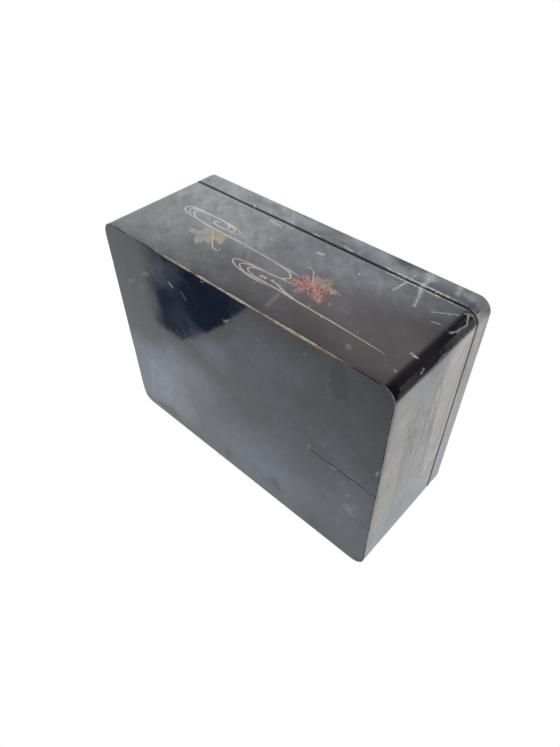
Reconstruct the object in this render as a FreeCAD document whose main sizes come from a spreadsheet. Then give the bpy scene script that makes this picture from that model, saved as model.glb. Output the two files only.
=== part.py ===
import FreeCAD, Part
import math
import os

import Sketcher
from FreeCAD import Placement, Rotation, Vector

# A lacquered wooden ink box with a flush lid, a lift-out tray and the writing things in it.
# Frame: origin at the middle of the underside, +X along the long side, -Y the decorated side, +Z up.
# Millimetres throughout.

doc = FreeCAD.newDocument("InkBox")

SIZES = [
    # The box
    ("box_length", 240.0, "outside, along X"),
    ("box_depth", 177.0, "outside, along Y"),
    ("body_height", 80.5, "underside to the top of the body's walls"),
    ("corner_radius", 10.0, "upright corners of body and lid"),
    ("base_thickness", 6.0, "board that the walls stand on"),
    ("base_arris", 0.5, "rounding of the underside's edge"),
    ("wall_thickness", 7.0, "body walls"),
    ("lip_radius", 0.7, "rounding of both lips of the seam"),
    # The lid and the standing rim that it drops over
    ("seam_gap", 0.8, "open seam between body and lid"),
    ("lid_wall_height", 10.7, "low walls under the lid's board"),
    ("lid_board_thickness", 6.0, "lid's board"),
    ("lid_edge_radius", 2.2, "rounding of the lid's top edge"),
    ("lid_clearance", 0.3, "rim to lid wall, on each side"),
    ("rim_thickness", 3.0, "standing rim"),
    ("rim_glued_height", 14.0, "part of the rim that lies against the body's wall"),
    ("rim_edge_radius", 0.8, "easing of the rim's top"),
    # The lift-out tray and what it rests on
    ("tray_clearance", 1.0, "rim to tray, on each side"),
    ("tray_headroom", 6.0, "tray's top to the lid's board"),
    ("tray_corner_radius", 3.0, "tray's upright corners"),
    ("tray_floor_thickness", 3.0, "tray's floor"),
    ("tray_wall_thickness", 4.0, "tray's walls"),
    ("tray_wall_height", 25.0, "tray's walls above its floor"),
    ("tray_lip_radius", 0.6, "easing of the tray's top edge"),
    ("finger_notch_radius", 13.0, "half-round notch in each end wall"),
    ("bearer_width", 10.0, "strips that the tray rests on"),
    ("bearer_height", 8.0, "strips that the tray rests on"),
    ("divider_thickness", 3.0, "strips between the beds"),
    ("divider_height", 14.0, "strips between the beds"),
    ("bed_clearance", 1.0, "round each thing in its bed"),
    # The inkstone
    ("stone_length", 126.0, "along X"),
    ("stone_width", 76.0, "along Y"),
    ("stone_height", 18.0, "inkstone"),
    ("stone_corner_radius", 5.0, "upright corners"),
    ("stone_edge_radius", 0.8, "easing of the border's edges"),
    ("stone_border", 7.0, "raised border round the land and the well"),
    ("recess_corner_radius", 4.0, "corners inside the border"),
    ("land_depth", 2.5, "border to the flat land where ink is ground"),
    ("well_depth", 10.5, "border to the floor of the well"),
    ("well_length", 12.0, "flat floor of the well"),
    ("slope_length", 22.0, "curved slope from the land to the well"),
    # The ink stick
    ("stick_length", 75.0, "along X"),
    ("stick_width", 16.0, "along Y"),
    ("stick_height", 8.0, "ink stick"),
    ("stick_edge_radius", 1.0, "moulded edges"),
    # The water dropper
    ("dropper_length", 54.0, "along X"),
    ("dropper_width", 36.0, "along Y"),
    ("dropper_height", 15.0, "vessel"),
    ("dropper_corner_radius", 5.0, "upright corners"),
    ("dropper_wall", 1.5, "wall, floor and top plate"),
    ("dropper_spout_diameter", 7.0, "spout"),
    ("dropper_spout_height", 4.0, "spout"),
    ("dropper_hole_diameter", 2.4, "air hole and the bore of the spout"),
    ("dropper_hole_inset", 9.0, "spout and air hole from the ends"),
    # The brushes and the bars that they lie on
    ("brush_end_gap", 14.0, "tray wall to the handles' ends"),
    ("handle_a_diameter", 8.0, "slim brush"),
    ("handle_a_length", 132.0, "slim brush"),
    ("tuft_a_length", 30.0, "slim brush"),
    ("handle_b_diameter", 10.0, "stout brush"),
    ("handle_b_length", 124.0, "stout brush"),
    ("tuft_b_length", 36.0, "stout brush"),
    ("ring_length", 5.0, "ring at the mouth of each handle"),
    ("ring_step", 0.5, "ring proud of its handle, all round"),
    ("tuft_step", 0.4, "tuft inside its ring, all round"),
    ("rest_thickness", 8.0, "notched bars, along X"),
    ("rest_height", 9.0, "notched bars, to the brushes' axes"),
    ("rest_inset", 22.0, "handle's ends to the bars"),
    ("rest_clearance", 0.3, "handle in its notch"),
]

sheet = doc.addObject("Spreadsheet::Sheet", "Sizes")
for row, (alias, value, meaning) in enumerate(SIZES, start=1):
    sheet.set(f"A{row}", alias)
    sheet.set(f"B{row}", str(value))
    sheet.set(f"C{row}", meaning)
    sheet.setAlias(f"B{row}", alias)
doc.recompute()

# Lengths that several pieces share, worked out from the sheet
INNER_LENGTH = "(Sizes.box_length - 2 * Sizes.wall_thickness)"
INNER_DEPTH = "(Sizes.box_depth - 2 * Sizes.wall_thickness)"
TRAY_LENGTH = f"({INNER_LENGTH} - 2 * Sizes.rim_thickness - 2 * Sizes.tray_clearance)"
TRAY_DEPTH = f"({INNER_DEPTH} - 2 * Sizes.rim_thickness - 2 * Sizes.tray_clearance)"
BED_LENGTH = f"({TRAY_LENGTH} - 2 * Sizes.tray_wall_thickness)"
BED_DEPTH = f"({TRAY_DEPTH} - 2 * Sizes.tray_wall_thickness)"

# Heights above the underside
LID_BASE = "(Sizes.body_height + Sizes.seam_gap)"
RIM_TOP = f"({LID_BASE} + Sizes.lid_wall_height)"
TRAY_TOP = f"({RIM_TOP} - Sizes.tray_headroom)"
TRAY_FLOOR = f"({TRAY_TOP} - Sizes.tray_wall_height)"
TRAY_BASE = f"({TRAY_FLOOR} - Sizes.tray_floor_thickness)"
BRUSH_AXIS = f"({TRAY_FLOOR} + Sizes.rest_height)"

# The beds run from the rear wall to the front: ink stick, inkstone, then the brushes
STICK_Y = f"({BED_DEPTH} / 2 - Sizes.bed_clearance - Sizes.stick_width / 2)"
STICK_BED_FRONT = f"({STICK_Y} - Sizes.stick_width / 2 - Sizes.bed_clearance)"
STICK_DIVIDER_Y = f"({STICK_BED_FRONT} - Sizes.divider_thickness)"
STONE_Y = f"({STICK_DIVIDER_Y} - Sizes.bed_clearance - Sizes.stone_width / 2)"
STONE_BED_FRONT = f"({STONE_Y} - Sizes.stone_width / 2 - Sizes.bed_clearance)"
LONG_DIVIDER_Y = f"({STONE_BED_FRONT} - Sizes.divider_thickness)"
BRUSH_BED_DEPTH = f"({LONG_DIVIDER_Y} + {BED_DEPTH} / 2)"

# From the left wall to the right: the inkstone, then the dropper
STONE_X = f"(Sizes.bed_clearance + Sizes.stone_length / 2 - {BED_LENGTH} / 2)"
STONE_BED_LENGTH = "(Sizes.stone_length + 2 * Sizes.bed_clearance)"
CROSS_DIVIDER_X = f"({STONE_BED_LENGTH} - {BED_LENGTH} / 2)"
RIGHT_BED_LEFT = f"({CROSS_DIVIDER_X} + Sizes.divider_thickness)"
RIGHT_BED_LENGTH = f"({BED_LENGTH} / 2 - {RIGHT_BED_LEFT})"
DROPPER_X = f"({RIGHT_BED_LEFT} + {RIGHT_BED_LENGTH} / 2)"
DROPPER_Y = f"({BED_DEPTH} / 2 - Sizes.bed_clearance - Sizes.dropper_width / 2)"
DROPPER_BED_FRONT = f"({DROPPER_Y} - Sizes.dropper_width / 2 - Sizes.bed_clearance)"
DROPPER_DIVIDER_Y = f"({DROPPER_BED_FRONT} - Sizes.divider_thickness)"

# The brushes lie along X, each in the middle of its half of the front bed
BRUSH_X = f"(Sizes.brush_end_gap - {BED_LENGTH} / 2)"
BRUSH_ACROSS_BED = {"a": f"({BRUSH_BED_DEPTH} / 4)", "b": f"(3 * {BRUSH_BED_DEPTH} / 4)"}

# Two places closer than this are the same place
SAME = 1e-3

pieces = []


def number(expression):
    """The present value of an expression on the sheet."""
    return float(sheet.evalExpression(expression))


def new_body(name, x="0", y="0", z="0", turn=0.0):
    """An empty body for one piece, turned about Z and placed by three expressions."""
    body = doc.addObject("PartDesign::Body", name)
    body.Label = name
    body.Placement = Placement(Vector(), Rotation(Vector(0, 0, 1), turn))
    for letter, expression in zip("xyz", (x, y, z)):
        body.setExpression(f"Placement.Base.{letter}", expression)
    pieces.append(body)
    return body


def new_block(name, length, depth, height, x, y, z):
    """A plain squared strip or bar whose low corner is at x, y, z."""
    block = doc.addObject("Part::Box", name)
    block.Label = name
    for side, expression in (("Length", length), ("Width", depth), ("Height", height)):
        block.setExpression(side, expression)
    for letter, expression in zip("xyz", (x, y, z)):
        block.setExpression(f"Placement.Base.{letter}", expression)
    pieces.append(block)
    return block


def new_sketch(body, name, plane, lift="0"):
    """A sketch on one of the body's own origin planes, lifted off it along its normal."""
    sketch = body.newObject("Sketcher::SketchObject", name)
    support = [o for o in body.Origin.OriginFeatures if o.Role == plane][0]
    sketch.AttachmentSupport = [(support, "")]
    sketch.MapMode = "FlatFace"
    sketch.setExpression("AttachmentOffset.Base.z", lift)
    return sketch


def measure(sketch, kind, *where, size):
    """A dimension in a sketch, bound to an expression."""
    index = sketch.addConstraint(Sketcher.Constraint(kind, *where, number(size)))
    sketch.setExpression(f"Constraints[{index}]", size)


def polyline(sketch, points):
    """Closed straight edges through the points, joined end to start."""
    ends = [Vector(x, y, 0) for x, y in points]
    for start, end in zip(ends, ends[1:] + ends[:1]):
        sketch.addGeometry(Part.LineSegment(start, end))
    count = len(ends)
    for edge in range(count):
        sketch.addConstraint(Sketcher.Constraint("Coincident", edge, 2, (edge + 1) % count, 1))


def centred_rectangle(sketch, length, depth):
    """A rectangle about the sketch's origin."""
    a, b = number(length) / 2, number(depth) / 2
    polyline(sketch, [(-a, -b), (a, -b), (a, b), (-a, b)])
    for kind, edge in (("Horizontal", 0), ("Vertical", 1), ("Horizontal", 2), ("Vertical", 3)):
        sketch.addConstraint(Sketcher.Constraint(kind, edge))
    sketch.addConstraint(Sketcher.Constraint("Symmetric", 0, 1, 1, 2, -1, 1))
    measure(sketch, "DistanceX", 0, 1, 0, 2, size=length)
    measure(sketch, "DistanceY", 1, 1, 1, 2, size=depth)


def rectangle_from_origin(sketch, length, height):
    """A rectangle whose low corner is the sketch's origin."""
    a, b = number(length), number(height)
    polyline(sketch, [(0, 0), (a, 0), (a, b), (0, b)])
    for kind, edge in (("Horizontal", 0), ("Vertical", 1), ("Horizontal", 2), ("Vertical", 3)):
        sketch.addConstraint(Sketcher.Constraint(kind, edge))
    sketch.addConstraint(Sketcher.Constraint("Coincident", 0, 1, -1, 1))
    measure(sketch, "DistanceX", 0, 1, 0, 2, size=length)
    measure(sketch, "DistanceY", 1, 1, 1, 2, size=height)


def circle(sketch, diameter, x="0", y="0"):
    """A circle whose centre is at x, y of the sketch; both are 0 or more."""
    centre = Vector(number(x), number(y), 0)
    edge = sketch.addGeometry(Part.Circle(centre, Vector(0, 0, 1), number(diameter) / 2))
    measure(sketch, "Diameter", edge, size=diameter)
    for kind, place, on_axis in (("DistanceX", x, -2), ("DistanceY", y, -1)):
        if place == "0":
            sketch.addConstraint(Sketcher.Constraint("PointOnObject", edge, 3, on_axis))
        else:
            measure(sketch, kind, -1, 1, edge, 3, size=place)


def pad(body, sketch, height, both_ways=False):
    feature = body.newObject("PartDesign::Pad", sketch.Name + "_pad")
    feature.Profile = sketch
    feature.SideType = "Symmetric" if both_ways else "One side"
    feature.setExpression("Length", height)
    sketch.Visibility = False
    return feature


def pocket(body, sketch, depth=None):
    """Cuts down to a depth or, without one, right through on both sides of the sketch."""
    feature = body.newObject("PartDesign::Pocket", sketch.Name + "_pocket")
    feature.Profile = sketch
    if depth is None:
        feature.SideType = "Symmetric"
        feature.Type = "ThroughAll"
    else:
        feature.setExpression("Length", depth)
    sketch.Visibility = False
    return feature


def revolve(body, sketch):
    """Turns a sketch right round its own horizontal axis."""
    feature = body.newObject("PartDesign::Revolution", sketch.Name + "_turned")
    feature.Profile = sketch
    feature.ReferenceAxis = (sketch, ["H_Axis"])
    feature.Angle = 360.0
    sketch.Visibility = False
    return feature


def round_edges(body, name, chosen, radius):
    """Rounds the edges of the body's last feature that chosen(bounding box) picks."""
    doc.recompute()
    base = body.Tip
    names = [f"Edge{n}" for n, edge in enumerate(base.Shape.Edges, start=1) if chosen(edge.BoundBox)]
    feature = body.newObject("PartDesign::Fillet", name)
    feature.Base = (base, names)
    feature.setExpression("Radius", radius)
    return feature


def upright(box):
    """True of an edge that runs straight up."""
    return max(box.XLength, box.YLength) < SAME


def at_height(z):
    """Picks edges that lie level at a height."""
    return lambda box: max(abs(box.ZMin - z), abs(box.ZMax - z)) < SAME


def upright_within(length):
    """Picks upright edges that stand inside a centred length along X."""
    reach = number(length) / 2 + SAME
    return lambda box: upright(box) and max(abs(box.XMin), abs(box.XMax)) < reach


def rounded_board(name, length, depth, thickness, corner, x="0", y="0", z="0"):
    """A level board with rounded upright corners."""
    body = new_body(name, x, y, z)
    sketch = new_sketch(body, name + "_outline", "XY_Plane")
    centred_rectangle(sketch, length, depth)
    pad(body, sketch, thickness)
    round_edges(body, name + "_corners", upright, corner)
    return body


def mitre_start(corner):
    """How far in from both faces of a rounded corner its middle lies, where the mitre starts."""
    return number(corner) * (1 - math.sqrt(0.5))


def mitred_wall(name, length, thickness, height, corner, x, y, z, turn):
    """A wall with mitred ends, each of which carries its half of the rounded corner.

    In its own frame the wall runs along X, with its outer face on Y = 0 and its inner face
    at Y = thickness. Each end's arc turns an eighth of a circle and ends on the mitre.
    """
    body = new_body(name, x, y, z, turn)
    sketch = new_sketch(body, name + "_outline", "XY_Plane")
    half, deep, r = number(length) / 2, number(thickness), number(corner)
    cut = mitre_start(corner)
    eighth = math.pi / 4
    right_circle = Part.Circle(Vector(half - r, r, 0), Vector(0, 0, 1), r)
    left_circle = Part.Circle(Vector(r - half, r, 0), Vector(0, 0, 1), r)
    outer = sketch.addGeometry(Part.LineSegment(Vector(r - half, 0, 0), Vector(half - r, 0, 0)))
    right_arc = sketch.addGeometry(Part.ArcOfCircle(right_circle, -2 * eighth, -eighth))
    right_inside, left_inside = Vector(half - deep, deep, 0), Vector(deep - half, deep, 0)
    right_mitre = sketch.addGeometry(Part.LineSegment(Vector(half - cut, cut, 0), right_inside))
    inner = sketch.addGeometry(Part.LineSegment(right_inside, left_inside))
    left_mitre = sketch.addGeometry(Part.LineSegment(left_inside, Vector(cut - half, cut, 0)))
    left_arc = sketch.addGeometry(Part.ArcOfCircle(left_circle, -3 * eighth, -2 * eighth))
    sketch.addConstraint([
        Sketcher.Constraint("Tangent", outer, 2, right_arc, 1),
        Sketcher.Constraint("Coincident", right_arc, 2, right_mitre, 1),
        Sketcher.Constraint("Coincident", right_mitre, 2, inner, 1),
        Sketcher.Constraint("Coincident", inner, 2, left_mitre, 1),
        Sketcher.Constraint("Coincident", left_mitre, 2, left_arc, 1),
        Sketcher.Constraint("Tangent", left_arc, 2, outer, 1),
        Sketcher.Constraint("Horizontal", outer),
        Sketcher.Constraint("PointOnObject", outer, 1, -1),
        Sketcher.Constraint("Symmetric", inner, 1, inner, 2, -2),
        Sketcher.Constraint("Equal", right_arc, left_arc),
        Sketcher.Constraint("Angle", right_mitre, 3 * eighth),
        Sketcher.Constraint("Angle", left_mitre, -3 * eighth),
    ])
    measure(sketch, "DistanceY", -1, 1, inner, 1, size=thickness)
    measure(sketch, "DistanceX", inner, 2, inner, 1, size=f"{length} - 2 * {thickness}")
    measure(sketch, "Radius", right_arc, size=corner)
    measure(sketch, "DistanceX", outer, 1, outer, 2, size=f"{length} - 2 * {corner}")
    measure(sketch, "DistanceX", -1, 1, outer, 2, size=f"{length} / 2 - {corner}")
    pad(body, sketch, height)
    return body


def four_walls(prefix, length, depth, thickness, height, corner, z):
    """Front, right, rear and left walls round a rectangle, by name."""
    half_length, half_depth = f"{length} / 2", f"{depth} / 2"
    sides = {
        "front": (length, "0", f"-{half_depth}", 0.0),
        "right": (depth, half_length, "0", 90.0),
        "rear": (length, "0", half_depth, 180.0),
        "left": (depth, f"-{half_length}", "0", 270.0),
    }
    return {
        side: mitred_wall(f"{prefix}{side}_wall", run, thickness, height, corner, x, y, z, turn)
        for side, (run, x, y, turn) in sides.items()
    }


def outer_edges(z, corner):
    """Picks a wall's outer edges at a height: those between its face and the mitres."""
    reach = mitre_start(corner) + SAME
    level = at_height(z)
    return lambda box: level(box) and box.YMax < reach


# Body of the box: a base board with four mitred walls standing on it
base = rounded_board(
    "base_board", "Sizes.box_length", "Sizes.box_depth", "Sizes.base_thickness", "Sizes.corner_radius",
)
round_edges(base, "base_board_arris", at_height(0), "Sizes.base_arris")

WALL_HEIGHT = "(Sizes.body_height - Sizes.base_thickness)"
body_walls = four_walls(
    "", "Sizes.box_length", "Sizes.box_depth", "Sizes.wall_thickness", WALL_HEIGHT, "Sizes.corner_radius",
    "Sizes.base_thickness",
)
for side, wall in body_walls.items():
    top_outside = outer_edges(number(WALL_HEIGHT), "Sizes.corner_radius")
    round_edges(wall, f"{side}_wall_lip", top_outside, "Sizes.lip_radius")

# Standing rim: four strips glued inside the walls, which rise into the lid and carry its board
RIM_HEIGHT = f"({RIM_TOP} - Sizes.body_height + Sizes.rim_glued_height)"
RIM_FOOT = "(Sizes.body_height - Sizes.rim_glued_height)"
RIM_SIDE_LENGTH = f"({INNER_DEPTH} - 2 * Sizes.rim_thickness)"
rim_places = {
    "front": (INNER_LENGTH, "Sizes.rim_thickness", "0", f"(Sizes.rim_thickness - {INNER_DEPTH}) / 2"),
    "rear": (INNER_LENGTH, "Sizes.rim_thickness", "0", f"({INNER_DEPTH} - Sizes.rim_thickness) / 2"),
    "left": ("Sizes.rim_thickness", RIM_SIDE_LENGTH, f"(Sizes.rim_thickness - {INNER_LENGTH}) / 2", "0"),
    "right": ("Sizes.rim_thickness", RIM_SIDE_LENGTH, f"({INNER_LENGTH} - Sizes.rim_thickness) / 2", "0"),
}
for side, (length, depth, x, y) in rim_places.items():
    rim = new_body(f"{side}_rim", x, y, RIM_FOOT)
    section = new_sketch(rim, f"{side}_rim_outline", "XY_Plane")
    centred_rectangle(section, length, depth)
    pad(rim, section, RIM_HEIGHT)
    rim_top = at_height(number(RIM_HEIGHT))
    long_edge = number("Sizes.rim_thickness") + SAME
    round_edges(
        rim, f"{side}_rim_easing",
        lambda box: rim_top(box) and max(box.XLength, box.YLength) > long_edge,
        "Sizes.rim_edge_radius",
    )

# Bearers: two strips along the end walls that the tray rests on
for side, x in (
    ("left", f"-{INNER_LENGTH} / 2"),
    ("right", f"{INNER_LENGTH} / 2 - Sizes.bearer_width"),
):
    new_block(
        f"{side}_bearer", "Sizes.bearer_width", INNER_DEPTH, "Sizes.bearer_height",
        x, f"-{INNER_DEPTH} / 2", f"{TRAY_BASE} - Sizes.bearer_height",
    )

# Lid: a board on four low walls, which hang round the standing rim flush with the body
lid_board = rounded_board(
    "lid_board", "Sizes.box_length", "Sizes.box_depth", "Sizes.lid_board_thickness", "Sizes.corner_radius",
    z=RIM_TOP,
)
lid_top = at_height(number("Sizes.lid_board_thickness"))
round_edges(lid_board, "lid_board_edge", lid_top, "Sizes.lid_edge_radius")

lid_walls = four_walls(
    "lid_", "Sizes.box_length", "Sizes.box_depth", "(Sizes.wall_thickness - Sizes.lid_clearance)",
    "Sizes.lid_wall_height", "Sizes.corner_radius", LID_BASE,
)
for side, wall in lid_walls.items():
    round_edges(wall, f"lid_{side}_wall_lip", outer_edges(0, "Sizes.corner_radius"), "Sizes.lip_radius")

# Tray: a floor and four mitred walls, the end walls notched for the fingers
rounded_board(
    "tray_floor", TRAY_LENGTH, TRAY_DEPTH, "Sizes.tray_floor_thickness", "Sizes.tray_corner_radius",
    z=TRAY_BASE,
)
tray_walls = four_walls(
    "tray_", TRAY_LENGTH, TRAY_DEPTH, "Sizes.tray_wall_thickness", "Sizes.tray_wall_height",
    "Sizes.tray_corner_radius", TRAY_FLOOR,
)
for side, wall in tray_walls.items():
    top_outside = outer_edges(number("Sizes.tray_wall_height"), "Sizes.tray_corner_radius")
    round_edges(wall, f"tray_{side}_wall_lip", top_outside, "Sizes.tray_lip_radius")
for side in ("left", "right"):
    notch = new_sketch(tray_walls[side], f"tray_{side}_wall_notch", "XZ_Plane")
    circle(notch, "2 * Sizes.finger_notch_radius", y="Sizes.tray_wall_height")
    pocket(tray_walls[side], notch)

# Dividers: thin strips between the beds
new_block(
    "long_divider", BED_LENGTH, "Sizes.divider_thickness", "Sizes.divider_height",
    f"-{BED_LENGTH} / 2", LONG_DIVIDER_Y, TRAY_FLOOR,
)
new_block(
    "cross_divider", "Sizes.divider_thickness", f"{BED_DEPTH} / 2 - {STONE_BED_FRONT}",
    "Sizes.divider_height", CROSS_DIVIDER_X, STONE_BED_FRONT, TRAY_FLOOR,
)
new_block(
    "stick_divider", STONE_BED_LENGTH, "Sizes.divider_thickness", "Sizes.divider_height",
    f"-{BED_LENGTH} / 2", STICK_DIVIDER_Y, TRAY_FLOOR,
)
new_block(
    "dropper_divider", RIGHT_BED_LENGTH, "Sizes.divider_thickness", "Sizes.divider_height",
    RIGHT_BED_LEFT, DROPPER_DIVIDER_Y, TRAY_FLOOR,
)

# Brush rests: two bars across the front bed, each with a half-round notch for each brush
LEFT_REST_X = f"({BRUSH_X} + Sizes.rest_inset)"
RIGHT_REST_X = f"({BRUSH_X} + Sizes.handle_b_length - Sizes.rest_inset)"
for side, x in (("left", LEFT_REST_X), ("right", RIGHT_REST_X)):
    name = f"{side}_brush_rest"
    rest = new_body(name, x, f"-{BED_DEPTH} / 2", TRAY_FLOOR)
    bar = new_sketch(rest, name + "_side", "YZ_Plane")
    rectangle_from_origin(bar, BRUSH_BED_DEPTH, "Sizes.rest_height")
    pad(rest, bar, "Sizes.rest_thickness", both_ways=True)
    notches = new_sketch(rest, name + "_notches", "YZ_Plane")
    for brush, across in BRUSH_ACROSS_BED.items():
        bore = f"Sizes.handle_{brush}_diameter + 2 * Sizes.rest_clearance"
        circle(notches, bore, x=across, y="Sizes.rest_height")
    pocket(rest, notches)

# Inkstone: a bordered block, hollowed to the depth of its well, with the land standing in the hollow
stone = rounded_board(
    "inkstone", "Sizes.stone_length", "Sizes.stone_width", "Sizes.stone_height", "Sizes.stone_corner_radius",
    x=STONE_X, y=STONE_Y, z=TRAY_FLOOR,
)
RECESS_LENGTH = "(Sizes.stone_length - 2 * Sizes.stone_border)"
RECESS_WIDTH = "(Sizes.stone_width - 2 * Sizes.stone_border)"
recess = new_sketch(stone, "inkstone_recess", "XY_Plane", lift="Sizes.stone_height")
centred_rectangle(recess, RECESS_LENGTH, RECESS_WIDTH)
pocket(stone, recess, depth="Sizes.well_depth")
round_edges(stone, "inkstone_recess_corners", upright_within(RECESS_LENGTH), "Sizes.recess_corner_radius")


def land_profile(sketch):
    """Side view of the land: flat on top, with one arc, level where it leaves the top, down to the well."""
    end = number(RECESS_LENGTH) / 2
    rise = number("Sizes.well_depth") - number("Sizes.land_depth")
    floor = number("Sizes.stone_height") - number("Sizes.well_depth")
    foot = number("Sizes.well_length") - end
    run = number("Sizes.slope_length")
    radius = (run ** 2 + rise ** 2) / (2 * rise)
    centre = Vector(foot + run, floor + rise - radius, 0)
    brow, back_top = Vector(foot + run, floor + rise, 0), Vector(end, floor + rise, 0)
    back_foot, slope_foot = Vector(end, floor, 0), Vector(foot, floor, 0)
    slope_circle = Part.Circle(centre, Vector(0, 0, 1), radius)
    slope_angle = math.atan2(floor - centre.y, foot - centre.x)
    flat = sketch.addGeometry(Part.LineSegment(brow, back_top))
    back = sketch.addGeometry(Part.LineSegment(back_top, back_foot))
    bottom = sketch.addGeometry(Part.LineSegment(back_foot, slope_foot))
    slope = sketch.addGeometry(Part.ArcOfCircle(slope_circle, math.pi / 2, slope_angle))
    sketch.addConstraint([
        Sketcher.Constraint("Coincident", flat, 2, back, 1),
        Sketcher.Constraint("Coincident", back, 2, bottom, 1),
        Sketcher.Constraint("Coincident", bottom, 2, slope, 2),
        Sketcher.Constraint("Tangent", slope, 1, flat, 1),
        Sketcher.Constraint("Horizontal", flat),
        Sketcher.Constraint("Vertical", back),
        Sketcher.Constraint("Horizontal", bottom),
    ])
    measure(sketch, "DistanceX", -1, 1, back, 1, size=f"{RECESS_LENGTH} / 2")
    measure(sketch, "DistanceY", -1, 1, back, 2, size="Sizes.stone_height - Sizes.well_depth")
    measure(sketch, "DistanceY", back, 2, back, 1, size="Sizes.well_depth - Sizes.land_depth")
    measure(sketch, "DistanceX", bottom, 2, bottom, 1, size=f"{RECESS_LENGTH} - Sizes.well_length")
    measure(
        sketch, "DistanceX", flat, 1, flat, 2,
        size=f"{RECESS_LENGTH} - Sizes.well_length - Sizes.slope_length",
    )


land = new_sketch(stone, "inkstone_land", "XZ_Plane")
land_profile(land)
pad(stone, land, RECESS_WIDTH, both_ways=True)
round_edges(stone, "inkstone_easing", at_height(number("Sizes.stone_height")), "Sizes.stone_edge_radius")

# Ink stick: a moulded cake of soot and glue, with every edge eased
stick = new_body("ink_stick", STONE_X, STICK_Y, TRAY_FLOOR)
stick_outline = new_sketch(stick, "ink_stick_outline", "XY_Plane")
centred_rectangle(stick_outline, "Sizes.stick_length", "Sizes.stick_width")
pad(stick, stick_outline, "Sizes.stick_height")
round_edges(stick, "ink_stick_edges", lambda box: True, "Sizes.stick_edge_radius")

# Water dropper: a hollow copper vessel under a plate with a spout and an air hole
vessel = rounded_board(
    "dropper_vessel", "Sizes.dropper_length", "Sizes.dropper_width", "Sizes.dropper_height",
    "Sizes.dropper_corner_radius", x=DROPPER_X, y=DROPPER_Y, z=TRAY_FLOOR,
)
hollow = new_sketch(vessel, "dropper_hollow", "XY_Plane", lift="Sizes.dropper_height")
HOLLOW_LENGTH = "(Sizes.dropper_length - 2 * Sizes.dropper_wall)"
centred_rectangle(hollow, HOLLOW_LENGTH, "Sizes.dropper_width - 2 * Sizes.dropper_wall")
pocket(vessel, hollow, depth="Sizes.dropper_height - Sizes.dropper_wall")
INSIDE_CORNER = "Sizes.dropper_corner_radius - Sizes.dropper_wall"
round_edges(vessel, "dropper_hollow_corners", upright_within(HOLLOW_LENGTH), INSIDE_CORNER)

plate = rounded_board(
    "dropper_top", "Sizes.dropper_length", "Sizes.dropper_width", "Sizes.dropper_wall",
    "Sizes.dropper_corner_radius", x=DROPPER_X, y=DROPPER_Y, z=f"{TRAY_FLOOR} + Sizes.dropper_height",
)
HOLE_X = "(Sizes.dropper_length / 2 - Sizes.dropper_hole_inset)"
spout = new_sketch(plate, "dropper_spout", "XY_Plane", lift="Sizes.dropper_wall")
circle(spout, "Sizes.dropper_spout_diameter", x=HOLE_X)
pad(plate, spout, "Sizes.dropper_spout_height")
bores = new_sketch(plate, "dropper_bores", "XY_Plane")
circle(bores, "Sizes.dropper_hole_diameter", x=HOLE_X)
circle(bores, "Sizes.dropper_hole_diameter")
pocket(plate, bores)


def turned_rod(name, length, radius, x, y):
    """A plain rod about the brush's axis, from x onwards."""
    body = new_body(name, x, y, BRUSH_AXIS)
    sketch = new_sketch(body, name + "_profile", "XZ_Plane")
    rectangle_from_origin(sketch, length, radius)
    revolve(body, sketch)


def turned_tuft(name, length, radius, x, y):
    """A tuft about the brush's axis: one arc, level at its root, drawn down to a point."""
    body = new_body(name, x, y, BRUSH_AXIS)
    sketch = new_sketch(body, name + "_profile", "XZ_Plane")
    run, root = number(length), number(radius)
    arc_radius = (run ** 2 + root ** 2) / (2 * root)
    arc_centre = Vector(0, root - arc_radius, 0)
    arc_circle = Part.Circle(arc_centre, Vector(0, 0, 1), arc_radius)
    tip_angle = math.atan2(-arc_centre.y, run)
    axis = sketch.addGeometry(Part.LineSegment(Vector(run, 0, 0), Vector(0, 0, 0)))
    face = sketch.addGeometry(Part.LineSegment(Vector(0, 0, 0), Vector(0, root, 0)))
    side = sketch.addGeometry(Part.ArcOfCircle(arc_circle, tip_angle, math.pi / 2))
    sketch.addConstraint([
        Sketcher.Constraint("Coincident", axis, 2, face, 1),
        Sketcher.Constraint("Coincident", face, 1, -1, 1),
        Sketcher.Constraint("Coincident", face, 2, side, 2),
        Sketcher.Constraint("Coincident", axis, 1, side, 1),
        Sketcher.Constraint("Horizontal", axis),
        Sketcher.Constraint("Vertical", face),
        Sketcher.Constraint("PointOnObject", side, 3, -2),
    ])
    measure(sketch, "DistanceX", axis, 2, axis, 1, size=length)
    measure(sketch, "DistanceY", face, 1, face, 2, size=radius)
    revolve(body, sketch)


# Brushes: a bamboo handle, a horn ring at its mouth and a tuft of hair set in the ring
for brush, across in BRUSH_ACROSS_BED.items():
    handle_length = f"Sizes.handle_{brush}_length"
    handle_radius = f"(Sizes.handle_{brush}_diameter / 2)"
    ring_radius = f"({handle_radius} + Sizes.ring_step)"
    tuft_radius = f"({ring_radius} - Sizes.tuft_step)"
    mouth = f"({BRUSH_X} + {handle_length})"
    root = f"({mouth} + Sizes.ring_length)"
    y = f"({across} - {BED_DEPTH} / 2)"
    turned_rod(f"brush_handle_{brush}", handle_length, handle_radius, BRUSH_X, y)
    turned_rod(f"brush_ring_{brush}", "Sizes.ring_length", ring_radius, mouth, y)
    turned_tuft(f"brush_tuft_{brush}", f"Sizes.tuft_{brush}_length", tuft_radius, root, y)

doc.recompute()
for thing in doc.Objects:
    if "Invalid" in thing.State or "Error" in thing.State:
        raise RuntimeError(f"{thing.Label} did not compute: {thing.State}")
for piece in pieces:
    shape = piece.Shape
    if shape.isNull() or not shape.isValid() or len(shape.Solids) != 1:
        raise RuntimeError(f"{piece.Label} is not one sound solid")

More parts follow.
